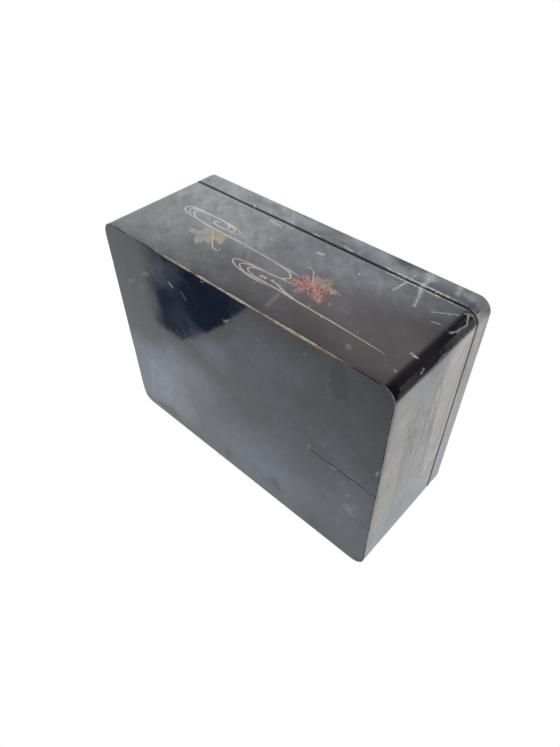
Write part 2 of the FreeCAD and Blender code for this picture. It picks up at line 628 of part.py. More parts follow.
os.makedirs("parts", exist_ok=True)
for piece in pieces:
    piece.Shape.exportStep(f"parts/{piece.Label}.step")
    box = piece.Shape.optimalBoundingBox(False, False)
    print(
        f"{piece.Label:20s} {piece.Shape.Volume:10.1f} mm3   x {box.XMin:8.2f} {box.XMax:8.2f}"
        f"   y {box.YMin:8.2f} {box.YMax:8.2f}   z {box.ZMin:8.2f} {box.ZMax:8.2f}"
    )
print(len(pieces), "pieces")
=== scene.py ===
import math

import bpy
import numpy as np
from mathutils import Matrix, Vector


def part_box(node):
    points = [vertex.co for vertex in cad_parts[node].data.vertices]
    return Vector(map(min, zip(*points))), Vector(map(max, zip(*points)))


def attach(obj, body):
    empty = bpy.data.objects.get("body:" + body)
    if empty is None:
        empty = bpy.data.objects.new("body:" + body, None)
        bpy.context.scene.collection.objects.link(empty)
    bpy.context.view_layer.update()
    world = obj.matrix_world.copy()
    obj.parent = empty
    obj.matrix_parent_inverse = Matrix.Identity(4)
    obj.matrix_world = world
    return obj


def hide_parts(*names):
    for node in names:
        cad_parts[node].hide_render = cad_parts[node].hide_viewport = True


# A black lacquer ink box, worn and dulled with age, with a stream and two maple leaves in gold on one long
# side. Lengths are in millimetres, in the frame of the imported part. Meshes are brought to metres when made.
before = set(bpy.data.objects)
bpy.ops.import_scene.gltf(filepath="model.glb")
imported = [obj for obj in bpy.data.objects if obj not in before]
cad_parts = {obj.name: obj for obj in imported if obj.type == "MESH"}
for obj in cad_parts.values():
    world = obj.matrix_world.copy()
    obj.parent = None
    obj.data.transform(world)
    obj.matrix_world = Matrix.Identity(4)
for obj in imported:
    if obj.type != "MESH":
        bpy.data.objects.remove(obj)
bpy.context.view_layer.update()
MM = 0.001

# Where the photographer stood: the box lay tipped back on its rear long side, so that from the
# box's own upright frame the camera looks up at the underside from in front and from the right.
LENS = 27.52
CAMERA_PLACE = Vector((204.2, -288.5, -174.3)) * MM
LOOKS_ALONG = Vector((-0.4786, 0.7081, 0.5191)).normalized()
PICTURE_UP = Vector((-0.4765, -0.7061, 0.5239))

picture_right = LOOKS_ALONG.cross(PICTURE_UP).normalized()
picture_up = picture_right.cross(LOOKS_ALONG)
turn = Matrix((picture_right, picture_up, -LOOKS_ALONG)).transposed()
camera = bpy.data.objects.new("camera", bpy.data.cameras.new("camera"))
camera.data.lens = LENS
camera.data.clip_start = 0.01
camera.matrix_world = Matrix.Translation(CAMERA_PLACE) @ turn.to_4x4()
bpy.context.scene.collection.objects.link(camera)
bpy.context.scene.camera = camera
bpy.context.scene.view_settings.view_transform = "Standard"


# The studio: a pale floor that the box stands on, a white room and a soft lamp. The floor has an opening
# under the flat of the base, so that the room lights the underside, and from below it is seen through.
def feed_in(tree, socket, feed):
    """Feeds a socket with a link or a value; None leaves it alone."""
    if isinstance(feed, bpy.types.NodeSocket):
        tree.links.new(feed, socket)
    elif feed is not None:
        socket.default_value = feed


def put(tree, kind, *feeds, **settings):
    """Adds a node to a tree, with each feed to the next of its sockets."""
    made = tree.nodes.new(kind)
    for key, value in settings.items():
        setattr(made, key, value)
    for socket, feed in zip(made.inputs, feeds):
        feed_in(tree, socket, feed)
    return made


def maths(tree, operation, *feeds):
    """The result of one sum on numbers."""
    return put(tree, "ShaderNodeMath", *feeds, operation=operation).outputs[0]


def plus(tree, first, second):
    """The sum of two numbers."""
    return maths(tree, "ADD", first, second)


def less(tree, first, second):
    """The first number less the second."""
    return maths(tree, "SUBTRACT", first, second)


def times(tree, first, second):
    """The product of two numbers."""
    return maths(tree, "MULTIPLY", first, second)


def ramp(tree, value, start, end, low=0.0, high=1.0, curve="SMOOTHSTEP"):
    """Rises from low to high as the value goes from start to end: smoothly, or straight if LINEAR."""
    return put(tree, "ShaderNodeMapRange", value, start, end, low, high, interpolation_type=curve).outputs[0]


def parts(tree, place):
    """The x, y and z of a place."""
    return put(tree, "ShaderNodeSeparateXYZ", place).outputs


def corners_of(node):
    """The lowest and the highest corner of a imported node, in millimetres."""
    return [Vector(corner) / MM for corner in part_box(node)]


def mesh_object(name, points, faces, smooth=0, sharp_from=0):
    """A mesh from points in millimetres and faces, made in metres, with its object at the origin. Its first
    faces are shaded smooth, as many as smooth says, up to edges that turn by sharp_from degrees."""
    mesh = bpy.data.meshes.new(name)
    mesh.from_pydata((np.asarray(points, float).reshape(-1, 3) * MM).tolist(), [], faces)
    if smooth:
        mesh.polygons.foreach_set("use_smooth", [True] * smooth + [False] * (len(faces) - smooth))
        mesh.set_sharp_from_angle(angle=math.radians(sharp_from))
    made = bpy.data.objects.new(name, mesh)
    bpy.context.scene.collection.objects.link(made)
    return made


def rounded_outline(half_length, half_depth, corner, steps):
    """Points round a rectangle with rounded corners: four quarter circles joined by the straight sides."""
    quarter = np.linspace(0, math.pi / 2, steps)
    # each corner's signs along x and y, and its turn in quarters
    centres = [(1, -1, -1), (1, 1, 0), (-1, 1, 1), (-1, -1, 2)]
    arcs = [
        np.stack([
            sx * (half_length - corner) + corner * np.cos(quarter + turns * math.pi / 2),
            sy * (half_depth - corner) + corner * np.sin(quarter + turns * math.pi / 2),
        ], axis=1)
        for sx, sy, turns in centres
    ]
    return np.concatenate(arcs)


base_low, base_high = corners_of("base_board")
GOLD_STANDS = 0.1
HALF_LENGTH, HALF_DEPTH = base_high.x - GOLD_STANDS, base_high.y - GOLD_STANDS
CORNER = 10.0 - GOLD_STANDS
BASE_ARRIS = 0.5
FLOOR_REACH = 4000.0
FLOOR_COLOUR = (0.93, 0.93, 0.925, 1)
ROOM_COLOUR = (0.93, 0.975, 1.03, 1)
ROOM_STRENGTH = 0.72
ROOM_SLOPE = (-0.27, 0.30, 0.20)

opening = rounded_outline(HALF_LENGTH - BASE_ARRIS, HALF_DEPTH - BASE_ARRIS, CORNER - BASE_ARRIS, 12)
compass = np.arctan2(opening[:, 1], opening[:, 0])
rim = np.stack([np.cos(compass), np.sin(compass)], axis=1) * FLOOR_REACH
count = len(opening)
ring = np.arange(count)
following = (ring + 1) % count
floor_points = np.zeros((2 * count, 3))
floor_points[:count, :2] = opening
floor_points[count:, :2] = rim
floor_faces = np.stack([ring, ring + count, following + count, following], axis=1).tolist()
floor = mesh_object("floor", floor_points, floor_faces)

floor_paint = bpy.data.materials.new("pale floor")
floor_paint.use_nodes = True
tree = floor_paint.node_tree
tree.nodes.clear()
path = put(tree, "ShaderNodeLightPath").outputs
back = put(tree, "ShaderNodeNewGeometry").outputs["Backfacing"]
seen_through = times(tree, path["Is Camera Ray"], back)
clear = put(tree, "ShaderNodeBsdfTransparent").outputs[0]
paint = put(tree, "ShaderNodeBsdfDiffuse", FLOOR_COLOUR).outputs[0]
mixed = put(tree, "ShaderNodeMixShader", seen_through, paint, clear).outputs[0]
put(tree, "ShaderNodeOutputMaterial", mixed)
floor.data.materials.append(floor_paint)

room = bpy.data.worlds.new("white room")
room.use_nodes = True
tree = room.node_tree
tree.nodes.clear()
path = put(tree, "ShaderNodeLightPath").outputs
white = put(tree, "ShaderNodeBackground", (1, 1, 1, 1), 1.0).outputs[0]
towards = put(tree, "ShaderNodeTexCoord").outputs["Generated"]
sloped = put(tree, "ShaderNodeVectorMath", towards, ROOM_SLOPE, operation="DOT_PRODUCT").outputs["Value"]
walls = put(tree, "ShaderNodeBackground", ROOM_COLOUR, plus(tree, sloped, ROOM_STRENGTH)).outputs[0]
mixed = put(tree, "ShaderNodeMixShader", path["Is Camera Ray"], walls, white).outputs[0]
put(tree, "ShaderNodeOutputWorld", mixed)
bpy.context.scene.world = room

# The lamp hangs high up, to the left and behind, in metres. The lacquer doesn't mirror it.
LAMP_PLACE = Vector((-0.5, 0.5, 1.7))
LAMP_POINTS_AT = Vector((0, 0, 0.05))
LAMP_SIZE = 1.2
LAMP_WATTS = 10.0
lamp = bpy.data.objects.new("ceiling lamp", bpy.data.lights.new("ceiling lamp", "AREA"))
lamp.data.size = LAMP_SIZE
lamp.data.energy = LAMP_WATTS
lamp.location = LAMP_PLACE
lamp.rotation_euler = (LAMP_POINTS_AT - LAMP_PLACE).to_track_quat("-Z", "Y").to_euler()
lamp.visible_camera = False
lamp.visible_glossy = False
bpy.context.scene.collection.objects.link(lamp)


def mirrored_paint(name, colour, fades):
    """Matt paint for a thing that shows only as the lacquer mirrors it. It clears along each fade, given as
    an axis, the place where the paint starts to clear and the place where it is gone."""
    material = bpy.data.materials.new(name)
    material.use_nodes = True
    tree = material.node_tree
    shader = tree.nodes["Principled BSDF"]
    shader.inputs["Base Color"].default_value = colour
    shader.inputs["Roughness"].default_value = 0.9
    place = parts(tree, put(tree, "ShaderNodeTexCoord").outputs["Object"])
    cleared = 0.0
    for axis, start, gone in fades:
        cleared = maths(tree, "MAXIMUM", ramp(tree, place[axis], start * MM, gone * MM), cleared)
    clear = put(tree, "ShaderNodeBsdfTransparent").outputs[0]
    mixed = put(tree, "ShaderNodeMixShader", cleared, shader.outputs[0], clear).outputs[0]
    tree.links.new(mixed, tree.nodes["Material Output"].inputs["Surface"])
    return material


# The navy card lies below the opening. The underside's lacquer mirrors it as a dark patch with a torn edge.
# The patch is given on the underside, and the card is thrown from it to its own level, away from the camera.
CARD_LEVEL = -250.0
CARD_COLOUR = (0.025, 0.13, 0.33, 1)
CARD_FADES = (-64.0, -85.0)
PATCH_EDGE = [
    # corners of the patch, x and y
    (-92, -96), (-91, -79), (-90, -60), (-88, -46), (-86, -34), (-84, -22.5), (-56, -22.5), (-48.6, -23.4),
    (-43.5, -25.2), (-41, -29), (-36.5, -30.5), (-34.6, -34.6), (-30, -35.5), (-26.4, -39.6),
    (-22.6, -41.2), (-20, -46), (-15.4, -48.2), (-13.4, -52.2), (-9.2, -54), (-7.2, -58.8), (-2.6, -61.5),
    (-1.2, -65.4), (2.9, -68.2), (4.6, -72), (8.8, -75), (11.2, -78.6), (14.2, -81), (17.4, -86), (24, -96),
]
camera_flat = np.array(CAMERA_PLACE[:2]) / MM
throw = (CAMERA_PLACE.z / MM + CARD_LEVEL) / (CAMERA_PLACE.z / MM)
card_flat = camera_flat + throw * (np.array(PATCH_EDGE) - camera_flat)
card_points = np.column_stack([card_flat, np.full(len(card_flat), CARD_LEVEL)])
card = mesh_object("navy_card", card_points, [list(range(len(card_points)))])
card.visible_camera = False
card_fades = camera_flat[0] + throw * (np.array(CARD_FADES) - camera_flat[0])
card.data.materials.append(mirrored_paint("navy card", CARD_COLOUR, [(0, *card_fades)]))

# The dark screen stands in front and to the right, in two panels, for the rounded corner between the front
# and the right end to mirror. Its two ends fade out, so the mirrored edges are soft.
SCREEN_COLOUR = (0.02, 0.028, 0.045, 1)
SCREEN_FOOT = [(-500, -1700, 0), (1500, -1700, 0), (1500, 1500, 0)]
SCREEN_FADES = [(0, 900.0, -500.0), (1, 300.0, 1500.0)]
SCREEN_HEIGHT = 2300
screen_top = [(x, y, SCREEN_HEIGHT) for x, y, z in SCREEN_FOOT]
screen = mesh_object("dark_screen", SCREEN_FOOT + screen_top, [(0, 1, 4, 3), (1, 2, 5, 4)])
screen.visible_camera = False
screen.visible_diffuse = False
screen.visible_shadow = False
screen.data.materials.append(mirrored_paint("dark screen", SCREEN_COLOUR, SCREEN_FADES))


# Base board: one level board of cypress, its edges rounded, lacquered black with the walls as one skin. Two
# splits have opened along its grain from the right end. Its arris is rubbed and chipped to the ground coat.
BOX_PLAN = (HALF_LENGTH, HALF_DEPTH, CORNER)


def outline_inset(x, y, plan=BOX_PLAN):
    """How far in from a board's outline a point lies: the corner's radius less its distance from the
    rectangle that joins the corners' centres, which is negative inside that rectangle."""
    half_length, half_depth, corner = plan
    over_x = np.abs(x) - (half_length - corner)
    over_y = np.abs(y) - (half_depth - corner)
    beyond = np.hypot(np.maximum(over_x, 0), np.maximum(over_y, 0))
    return corner - beyond - np.minimum(np.maximum(over_x, over_y), 0)


def chip_depth(x, y, chips):
    """Extra rounding of an arris, in millimetres: each chip (x, y, reach, depth) adds its depth where it
    is, and falls off to nothing at its reach, as 1 less the square of the distance over the reach."""
    depth = np.zeros(np.broadcast(x, y).shape)
    for chip_x, chip_y, reach, deep in chips:
        away = ((x - chip_x) ** 2 + (y - chip_y) ** 2) / reach ** 2
        depth = depth + deep * np.clip(1 - away, 0, None) ** 2
    return depth


def scattered_chips(seed, count, low_reach, high_reach, high_depth, plan=BOX_PLAN):
    """Small chips at random places round a board's outline."""
    dice = np.random.default_rng(seed)
    places = rounded_outline(*plan, 2)
    starts = dice.integers(0, len(places), count)
    share = dice.random(count)[:, None]
    spots = places[starts] * share + places[(starts + 1) % len(places)] * (1 - share)
    reach = low_reach + (high_reach - low_reach) * dice.random(count) ** 2
    deep = high_depth * dice.random(count) ** 2 * reach / high_reach
    return np.column_stack([spots, reach, deep])


def board_surface(
    name, face_z, back_z, arris, chips, relief, rows_between, plan=BOX_PLAN, centre=(0, 0), columns=190,
):
    """A level board with a rounded outline, worked on a grid whose rows run along X.

    Rows beside the ends follow the corner's circle, y = centre + radius * sin(angle), and each row runs from
    outline to outline, with points close together at both. The face lies at face_z, plus relief(x, y), and
    within the arris's radius R of the outline it turns away by R - sqrt(R^2 - (R - inset)^2)."""
    half_length, half_depth, corner = plan
    inward = 1.0 if back_z > face_z else -1.0
    angle = np.linspace(0, math.pi / 2, 18)
    close = half_depth - np.array([0.06, 0.14, 0.25, 0.4, 0.6, 0.9, 1.3])
    high_rows = np.concatenate([half_depth - corner + corner * np.sin(angle), close])
    y_rows = np.unique(np.concatenate([-high_rows, rows_between, high_rows]).round(4))
    beyond = np.clip(np.abs(y_rows) - (half_depth - corner), 0, corner)
    reach = half_length - corner + np.sqrt(np.maximum(corner ** 2 - beyond ** 2, 0))
    # a short board's steps are drawn in, so that they don't reach its middle
    edge_steps = np.array([0, 0.06, 0.14, 0.25, 0.4, 0.6, 0.9, 1.3, 1.9, 2.8, 4.2, 6.2, 9.0, 13.0])
    edge_steps = edge_steps * min(1, half_length / (2 * edge_steps[-1]))
    inner = np.linspace(-1, 1, columns)[None, :] * (reach - edge_steps[-1])[:, None]
    left = -reach[:, None] + edge_steps[None, :-1]
    x = np.hstack([left, inner, -left[:, ::-1]])
    y = np.broadcast_to(y_rows[:, None], x.shape)
    shift, rise = relief(x, y)
    radius = arris + chip_depth(x, y, chips)
    inset = np.clip(outline_inset(x, y, plan), 0, None)
    turned = np.where(inset < radius, radius - np.sqrt(np.maximum(radius ** 2 - (radius - inset) ** 2, 0)), 0)
    z = face_z + inward * (turned + rise)
    face = np.stack([x + centre[0], y + shift + centre[1], z], axis=-1)
    number = np.arange(x.size).reshape(x.shape)
    quads = np.stack([number[:-1, :-1], number[1:, :-1], number[1:, 1:], number[:-1, 1:]], axis=-1)
    loop = np.concatenate([number[0, :-1], number[:-1, -1], number[-1, :0:-1], number[:0:-1, 0]])
    points = [face.reshape(-1, 3)]
    bands = [loop]
    for level in (0.5, 1.0):
        band = face.reshape(-1, 3)[loop].copy()
        band[:, 2] += (back_z - band[:, 2]) * level
        bands.append(x.size + len(loop) * (len(bands) - 1) + np.arange(len(loop)))
        points.append(band)
    side = [np.stack([a, np.roll(a, -1), np.roll(b, -1), b], axis=1) for a, b in zip(bands, bands[1:])]
    faces = np.concatenate([quads.reshape(-1, 4), *side])
    back_face = bands[-1]
    if inward < 0:
        faces = faces[:, ::-1]
        back_face = back_face[::-1]
    return mesh_object(name, np.concatenate(points), faces.tolist() + [back_face.tolist()], len(faces), 60)


def dress_board(made, face_lacquer, side_lacquer, face_z):
    """Gives a board the lacquer of its face, and on its edge that of the side each face of the mesh is on.

    A face is on the edge where it lies off the level of the board's face. It belongs to the front or the
    rear where it is nearer to those planes than to the planes of the ends."""
    for material in [face_lacquer, *side_lacquer.values()]:
        made.data.materials.append(material)
    centres = np.empty(len(made.data.polygons) * 3)
    made.data.polygons.foreach_get("center", centres)
    x, y, z = centres.reshape(-1, 3).T / MM
    to_length = HALF_LENGTH - np.abs(x)
    to_depth = HALF_DEPTH - np.abs(y)
    side = np.where(to_depth < to_length, np.where(y < 0, 1, 3), np.where(x > 0, 2, 4))
    on_edge = np.minimum(to_length, to_depth) < 0.3 * np.abs(z - face_z)
    made.data.polygons.foreach_set("material_index", np.where(on_edge, side, 0))


SPLITS = [
    # y where it starts and ends, x where it starts and ends, width and depth at the board's end
    (-0.6, 1.4, 64.0, 120.0, 0.85, 0.8),
    (38.6, 39.6, 95.0, 120.0, 0.45, 0.35),
]
SPLIT_ROWS = [-0.9, -0.45, -0.22, -0.1, 0.0, 0.1, 0.22, 0.45, 0.9]
# how far the rows bend on either side of a split, and how far ahead of its start
ROWS_BEND, BEND_LEADS = 14.0, 25.0
HOLLOW_DEPTH, HOLLOW_EDGE = 0.10, 25.0
STROKE_DEPTH, STROKE_PITCH, STROKE_EDGE = 0.012, 7.3, 6.0


def split_line(x, start_y, end_y, start_x, end_x):
    """The y of a split at each x: a straight run with a wander of three sines."""
    along = (x - start_x) / (end_x - start_x)
    wander = 0.35 * np.sin(x / 2.9) + 0.22 * np.sin(x / 1.13 + 1) + 0.1 * np.sin(x / 0.47)
    return start_y + (end_y - start_y) * along + wander


def underside_relief(x, y):
    """The underside's own unevenness: a shallow hollow, long plane strokes and the splits.

    Near a split the rows bend to follow it, fading out to both sides and ahead of it. The groove is a
    parabola across the split, which opens towards the board's end."""
    inset = outline_inset(x, y)
    hollow = HOLLOW_DEPTH * np.clip(inset / HOLLOW_EDGE, 0, 1) ** 2
    strokes = STROKE_DEPTH * (1 + np.sin(y / STROKE_PITCH + 0.8 * np.sin(x / 61)))
    rise = hollow + strokes * np.clip(inset / STROKE_EDGE, 0, 1)
    shift = np.zeros(x.shape)
    for start_y, end_y, start_x, end_x, width, depth in SPLITS:
        middle = (start_y + end_y) / 2
        near = np.clip(1 - np.abs(y - middle) / ROWS_BEND, 0, 1)
        near = near * near * (3 - 2 * near) * np.clip((x - start_x + BEND_LEADS) / BEND_LEADS, 0, 1)
        shift = shift + (split_line(x, start_y, end_y, start_x, end_x) - middle) * near
        opening = np.clip((x - start_x) / (end_x - start_x), 0, 1) ** 0.6
        across = np.abs(y - middle) / np.maximum(width / 2 * (0.4 + 0.6 * opening), 1e-6)
        rise = rise + depth * opening * np.clip(1 - across ** 2, 0, 1)
    return shift, rise


BOARD_ROWS = np.arange(-77.5, 78, 2.5)
split_rows = [(start_y + end_y) / 2 + np.array(SPLIT_ROWS) for start_y, end_y, *_ in SPLITS]
BASE_CHIPS = scattered_chips(3, 70, 1.0, 4.5, 0.9)
base_board = board_surface(
    "base_board_worn", base_low.z, base_high.z, BASE_ARRIS, BASE_CHIPS, underside_relief,
    np.concatenate([BOARD_ROWS, *split_rows]),
)
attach(base_board, "box")
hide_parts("base_board")


# The lacquer of the whole outside, box and lid alike: many thin coats of black over a grey ground coat. It
# has bloomed with age, and is scuffed, scratched and rubbed through along the arrises. Where the bloom is
# laid out on the front, the underside and the right end, it is partly painted sheen and reflection. Each kind
# of mark is a node group of its own.
def new_group(name, **settings):
    """An empty node group that takes a place and the settings, with their usual values, and gives one
    number. Returns its tree, its inputs by name and the socket for the number."""
    made = bpy.data.node_groups.new(name, "ShaderNodeTree")
    for label, value in {"Place": (0, 0, 0), **settings}.items():
        kind = "NodeSocketVector" if isinstance(value, tuple) else "NodeSocketFloat"
        made.interface.new_socket(label, in_out="INPUT", socket_type=kind).default_value = value
    made.interface.new_socket("Result", in_out="OUTPUT", socket_type="NodeSocketFloat")
    return made, made.nodes.new("NodeGroupInput").outputs, made.nodes.new("NodeGroupOutput").inputs[0]


def use(tree, group, place, **settings):
    """Puts a node group in a tree, with its place and its other inputs by name. Returns its result."""
    made = put(tree, "ShaderNodeGroup", node_tree=group)
    for label, feed in {"Place": place, **settings}.items():
        feed_in(tree, made.inputs[label], feed)
    return made.outputs[0]


def vector(tree, operation, *feeds):
    """The result of one sum on vectors."""
    made = put(tree, "ShaderNodeVectorMath", *feeds, operation=operation)
    return made.outputs["Value" if operation in ("LENGTH", "DOT_PRODUCT") else "Vector"]


def scaled(tree, place, factor):
    """A vector times a number."""
    return vector(tree, "SCALE", place, None, None, factor)


def turned_by(tree, place, angles):
    """A place turned about the origin, by an angle about each axis."""
    made = put(tree, "ShaderNodeVectorRotate", place, rotation_type="EULER_XYZ")
    feed_in(tree, made.inputs["Rotation"], angles)
    return made.outputs[0]


def noise(tree, place, scale, detail=4.0, roughness=0.55, distortion=0.0):
    """Cloudy noise about 0.5. Its scale is in marks per millimetre, as one number or one for each axis."""
    if isinstance(scale, tuple):
        place, scale = vector(tree, "MULTIPLY", place, scale), 1.0
    made = put(tree, "ShaderNodeTexNoise", place)
    for label, value in (
        ("Scale", scale), ("Detail", detail), ("Roughness", roughness), ("Distortion", distortion),
    ):
        made.inputs[label].default_value = value
    return made.outputs[0]


def blend(tree, share, first, second):
    """A colour part of the way from the first to the second."""
    made = put(tree, "ShaderNodeMix", share, data_type="RGBA")
    feed_in(tree, made.inputs[6], first)
    feed_in(tree, made.inputs[7], second)
    return made.outputs[2]


def group_arris_distance():
    """Distance to a level edge of the box: the hypotenuse of the inset from its outline and the height
    from the edge. The inset is the corner's radius less the distance past the corners' centres."""
    tree, feed, result = new_group("arris distance", Height=0.0)

    def hypotenuse(a, b):
        return maths(tree, "SQRT", plus(tree, times(tree, a, a), times(tree, b, b)))

    spread = parts(tree, vector(tree, "ABSOLUTE", feed["Place"]))
    over_x = less(tree, spread[0], HALF_LENGTH - CORNER)
    over_y = less(tree, spread[1], HALF_DEPTH - CORNER)
    past = hypotenuse(maths(tree, "MAXIMUM", over_x, 0.0), maths(tree, "MAXIMUM", over_y, 0.0))
    inside = maths(tree, "MINIMUM", maths(tree, "MAXIMUM", over_x, over_y), 0.0)
    inset = maths(tree, "MAXIMUM", less(tree, CORNER, plus(tree, past, inside)), 0.0)
    rise = less(tree, parts(tree, feed["Place"])[2], feed["Height"])
    tree.links.new(hypotenuse(inset, rise), result)
    return tree


def group_rubbed():
    """A worn line along an edge: full at the edge, gone past a reach that noise makes wider, narrower
    or nothing, with a finer noise that breaks it up."""
    tree, feed, result = new_group("rubbed edge", Distance=1.0, Reach=1.0, Bare=0.5)
    slow = noise(tree, feed["Place"], 0.045, 5.0, 0.65)
    quick = noise(tree, feed["Place"], 0.9, 3.0, 0.6)
    chance = plus(tree, times(tree, slow, 0.75), times(tree, quick, 0.25))
    lowest = less(tree, 0.62, times(tree, feed["Bare"], 0.3))
    width = ramp(tree, chance, lowest, plus(tree, lowest, 0.2), curve="LINEAR")
    reach = maths(tree, "MAXIMUM", times(tree, width, feed["Reach"]), 0.001)
    tree.links.new(ramp(tree, maths(tree, "DIVIDE", feed["Distance"], reach), 1.0, 0.55), result)
    return tree


def group_bloom():
    """Cloudy dulling: a large warped noise, a smaller one and a fine mottle, added and cut to a mask."""
    tree, feed, result = new_group("bloom", Scale=0.02, Start=0.45, Full=0.7)
    place = scaled(tree, feed["Place"], feed["Scale"])
    large = noise(tree, place, 1.0, 6.0, 0.58, 0.6)
    small = noise(tree, place, 4.3, 5.0, 0.62, 0.3)
    mottle = noise(tree, place, 23.0, 3.0, 0.6)
    total = plus(tree, times(tree, large, 0.62), times(tree, small, 0.28))
    total = plus(tree, total, times(tree, mottle, 0.10))
    tree.links.new(ramp(tree, total, feed["Start"], feed["Full"]), result)
    return tree


def group_cloud():
    """A soft mark at one place: 1 in its middle, falling smoothly to 0 at its reach along each axis."""
    tree, feed, result = new_group("cloud", Centre=(0, 0, 0), Reach=(10, 10, 10))
    away = vector(tree, "DIVIDE", vector(tree, "SUBTRACT", feed["Place"], feed["Centre"]), feed["Reach"])
    tree.links.new(ramp(tree, vector(tree, "LENGTH", away), 1.0, 0.0), result)
    return tree


def group_streak():
    """A mark along a short line: 1 on it, falling smoothly to 0 at its width. The nearest place on the
    line is the start plus the run times the share of the run reached, which is held between 0 and 1."""
    tree, feed, result = new_group("streak", Start=(0, 0, 0), Run=(1, 0, 0), Width=1.0)
    offset = vector(tree, "SUBTRACT", feed["Place"], feed["Start"])
    reached = vector(tree, "DOT_PRODUCT", offset, feed["Run"])
    share = maths(tree, "DIVIDE", reached, vector(tree, "DOT_PRODUCT", feed["Run"], feed["Run"]))
    share = maths(tree, "MINIMUM", maths(tree, "MAXIMUM", share, 0.0), 1.0)
    away = vector(tree, "LENGTH", vector(tree, "SUBTRACT", offset, scaled(tree, feed["Run"], share)))
    tree.links.new(ramp(tree, maths(tree, "DIVIDE", away, feed["Width"]), 1.0, 0.0), result)
    return tree


def group_scratches():
    """Fine hairlines: the thin contour at the middle of a stretched noise, cut into runs by another."""
    tree, feed, result = new_group(
        "scratches", Turn=(0, 0, 0), Stretch=(0.02, 0.02, 0.02), Width=0.004, Share=0.3,
    )
    place = vector(tree, "MULTIPLY", turned_by(tree, feed["Place"], feed["Turn"]), feed["Stretch"])
    lines = maths(tree, "ABSOLUTE", less(tree, noise(tree, place, 1.0, 1.0, 0.4), 0.5))
    thin = ramp(tree, lines, feed["Width"], 0.0, curve="LINEAR")
    lowest = times(tree, less(tree, 1.0, feed["Share"]), 0.72)
    runs = noise(tree, feed["Place"], 0.035, 3.0, 0.6)
    kept = ramp(tree, runs, lowest, plus(tree, lowest, 0.06), curve="LINEAR")
    tree.links.new(times(tree, thin, kept), result)
    return tree


def group_specks():
    """Crumbs of dust and tiny chips: a dot round some of the points of a random scatter. Its density is
    in points per millimetre."""
    tree, feed, result = new_group("specks", Density=0.2, Size=0.1, Share=0.2)
    cells = put(tree, "ShaderNodeTexVoronoi", feed["Place"])
    tree.links.new(feed["Density"], cells.inputs["Scale"])
    chosen = put(tree, "ShaderNodeSeparateColor", cells.outputs["Color"]).outputs
    dot = ramp(tree, cells.outputs["Distance"], times(tree, feed["Size"], chosen[1]), 0.0, curve="LINEAR")
    kept = maths(tree, "LESS_THAN", chosen[0], feed["Share"])
    tree.links.new(times(tree, dot, kept), result)
    return tree


def new_paint(name):
    """A new material: itself, its tree, its shader, and the place of each point in the box's millimetres."""
    material = bpy.data.materials.new(name)
    material.use_nodes = True
    tree = material.node_tree
    place = scaled(tree, put(tree, "ShaderNodeTexCoord").outputs["Object"], 1 / MM)
    return material, tree, tree.nodes["Principled BSDF"], place


def coat(tree, shader, colour, roughness, height, strength, reach):
    """Gives a shader its colour and roughness, and bends its light by a height, which stands for so many
    millimetres at 1."""
    tree.links.new(colour, shader.inputs["Base Color"])
    tree.links.new(roughness, shader.inputs["Roughness"])
    bump = put(tree, "ShaderNodeBump")
    bump.inputs["Strength"].default_value = strength
    bump.inputs["Distance"].default_value = reach * MM
    tree.links.new(height, bump.inputs["Height"])
    tree.links.new(bump.outputs[0], shader.inputs["Normal"])


ARRIS_DISTANCE = group_arris_distance()
RUBBED = group_rubbed()
BLOOM = group_bloom()
CLOUD = group_cloud()
STREAK = group_streak()
SCRATCHES = group_scratches()
SPECKS = group_specks()

# levels of the two edges that the finish follows, besides the underside's at 0
SEAM_LEVEL = 80.9
LID_TOP = 98.0
THICKEST_BLOOM = 0.82

BLACK = (0.0045, 0.0055, 0.009, 1)
BROWN_BLACK = (0.012, 0.0105, 0.011, 1)
BROWN_HAZE = (0.092, 0.066, 0.062, 1)
BLOOM_GREY = (0.455, 0.455, 0.455, 1)
BLOOM_VIOLET = (0.42, 0.415, 0.445, 1)
BLOOM_COOL = (0.42, 0.455, 0.50, 1)
BLOOM_BLUE = (0.35, 0.425, 0.51, 1)
# the right end's warm pale bloom colour, partly a painted warm sheen
WARM_BLOOM_AND_SHEEN = (0.64, 0.595, 0.535, 1)
DUST = (0.52, 0.52, 0.50, 1)
SCRAPED = (0.64, 0.64, 0.62, 1)
GROUND_COAT = (0.42, 0.38, 0.32, 1)
BARE_TAN = (0.80, 0.50, 0.24, 1)
BARE_PALE = (0.90, 0.80, 0.62, 1)
RESIDUE = (0.74, 0.70, 0.58, 1)

# bloom on the front, heaviest at its left: partly real bloom, partly painted sheen that lightens the left of
# the front
FRONT_BLOOM_AND_SHEEN = [
    # centre x y z, reach x y z, amount
    (-84, -89, 76, 50, 40, 22, 1.05),
    (-60, -89, 54, 60, 40, 24, 0.38),
    (-100, -89, 24, 80, 40, 70, 0.52),
    (-120, -89, 55, 20, 40, 60, 0.25),
    (-20, -89, 56, 130, 40, 74, 0.50),
    (-25, -89, 80, 42, 40, 12, 0.30),
    (-60, -89, 4, 150, 40, 16, 0.14),
    (64, -89, 76, 75, 40, 30, 0.34),
    (-90, -89, 92, 65, 30, 10, 1.00),
    (-32, -89, 93, 48, 30, 11, 0.85),
    (-30, -89, 75, 26, 40, 14, 0.30),
    (-112, -89, 64, 26, 40, 15, 0.60),
    (26, -89, 91, 26, 30, 10, 0.30),
    (66, -89, 91, 75, 30, 10, 0.42),
    (114, -84, 90, 22, 24, 14, 0.42),
]
FRONT_BROWN = [
    (70, -89, 24, 130, 60, 60, 0.85),
    (112, -89, 16, 60, 60, 60, 0.45),
]
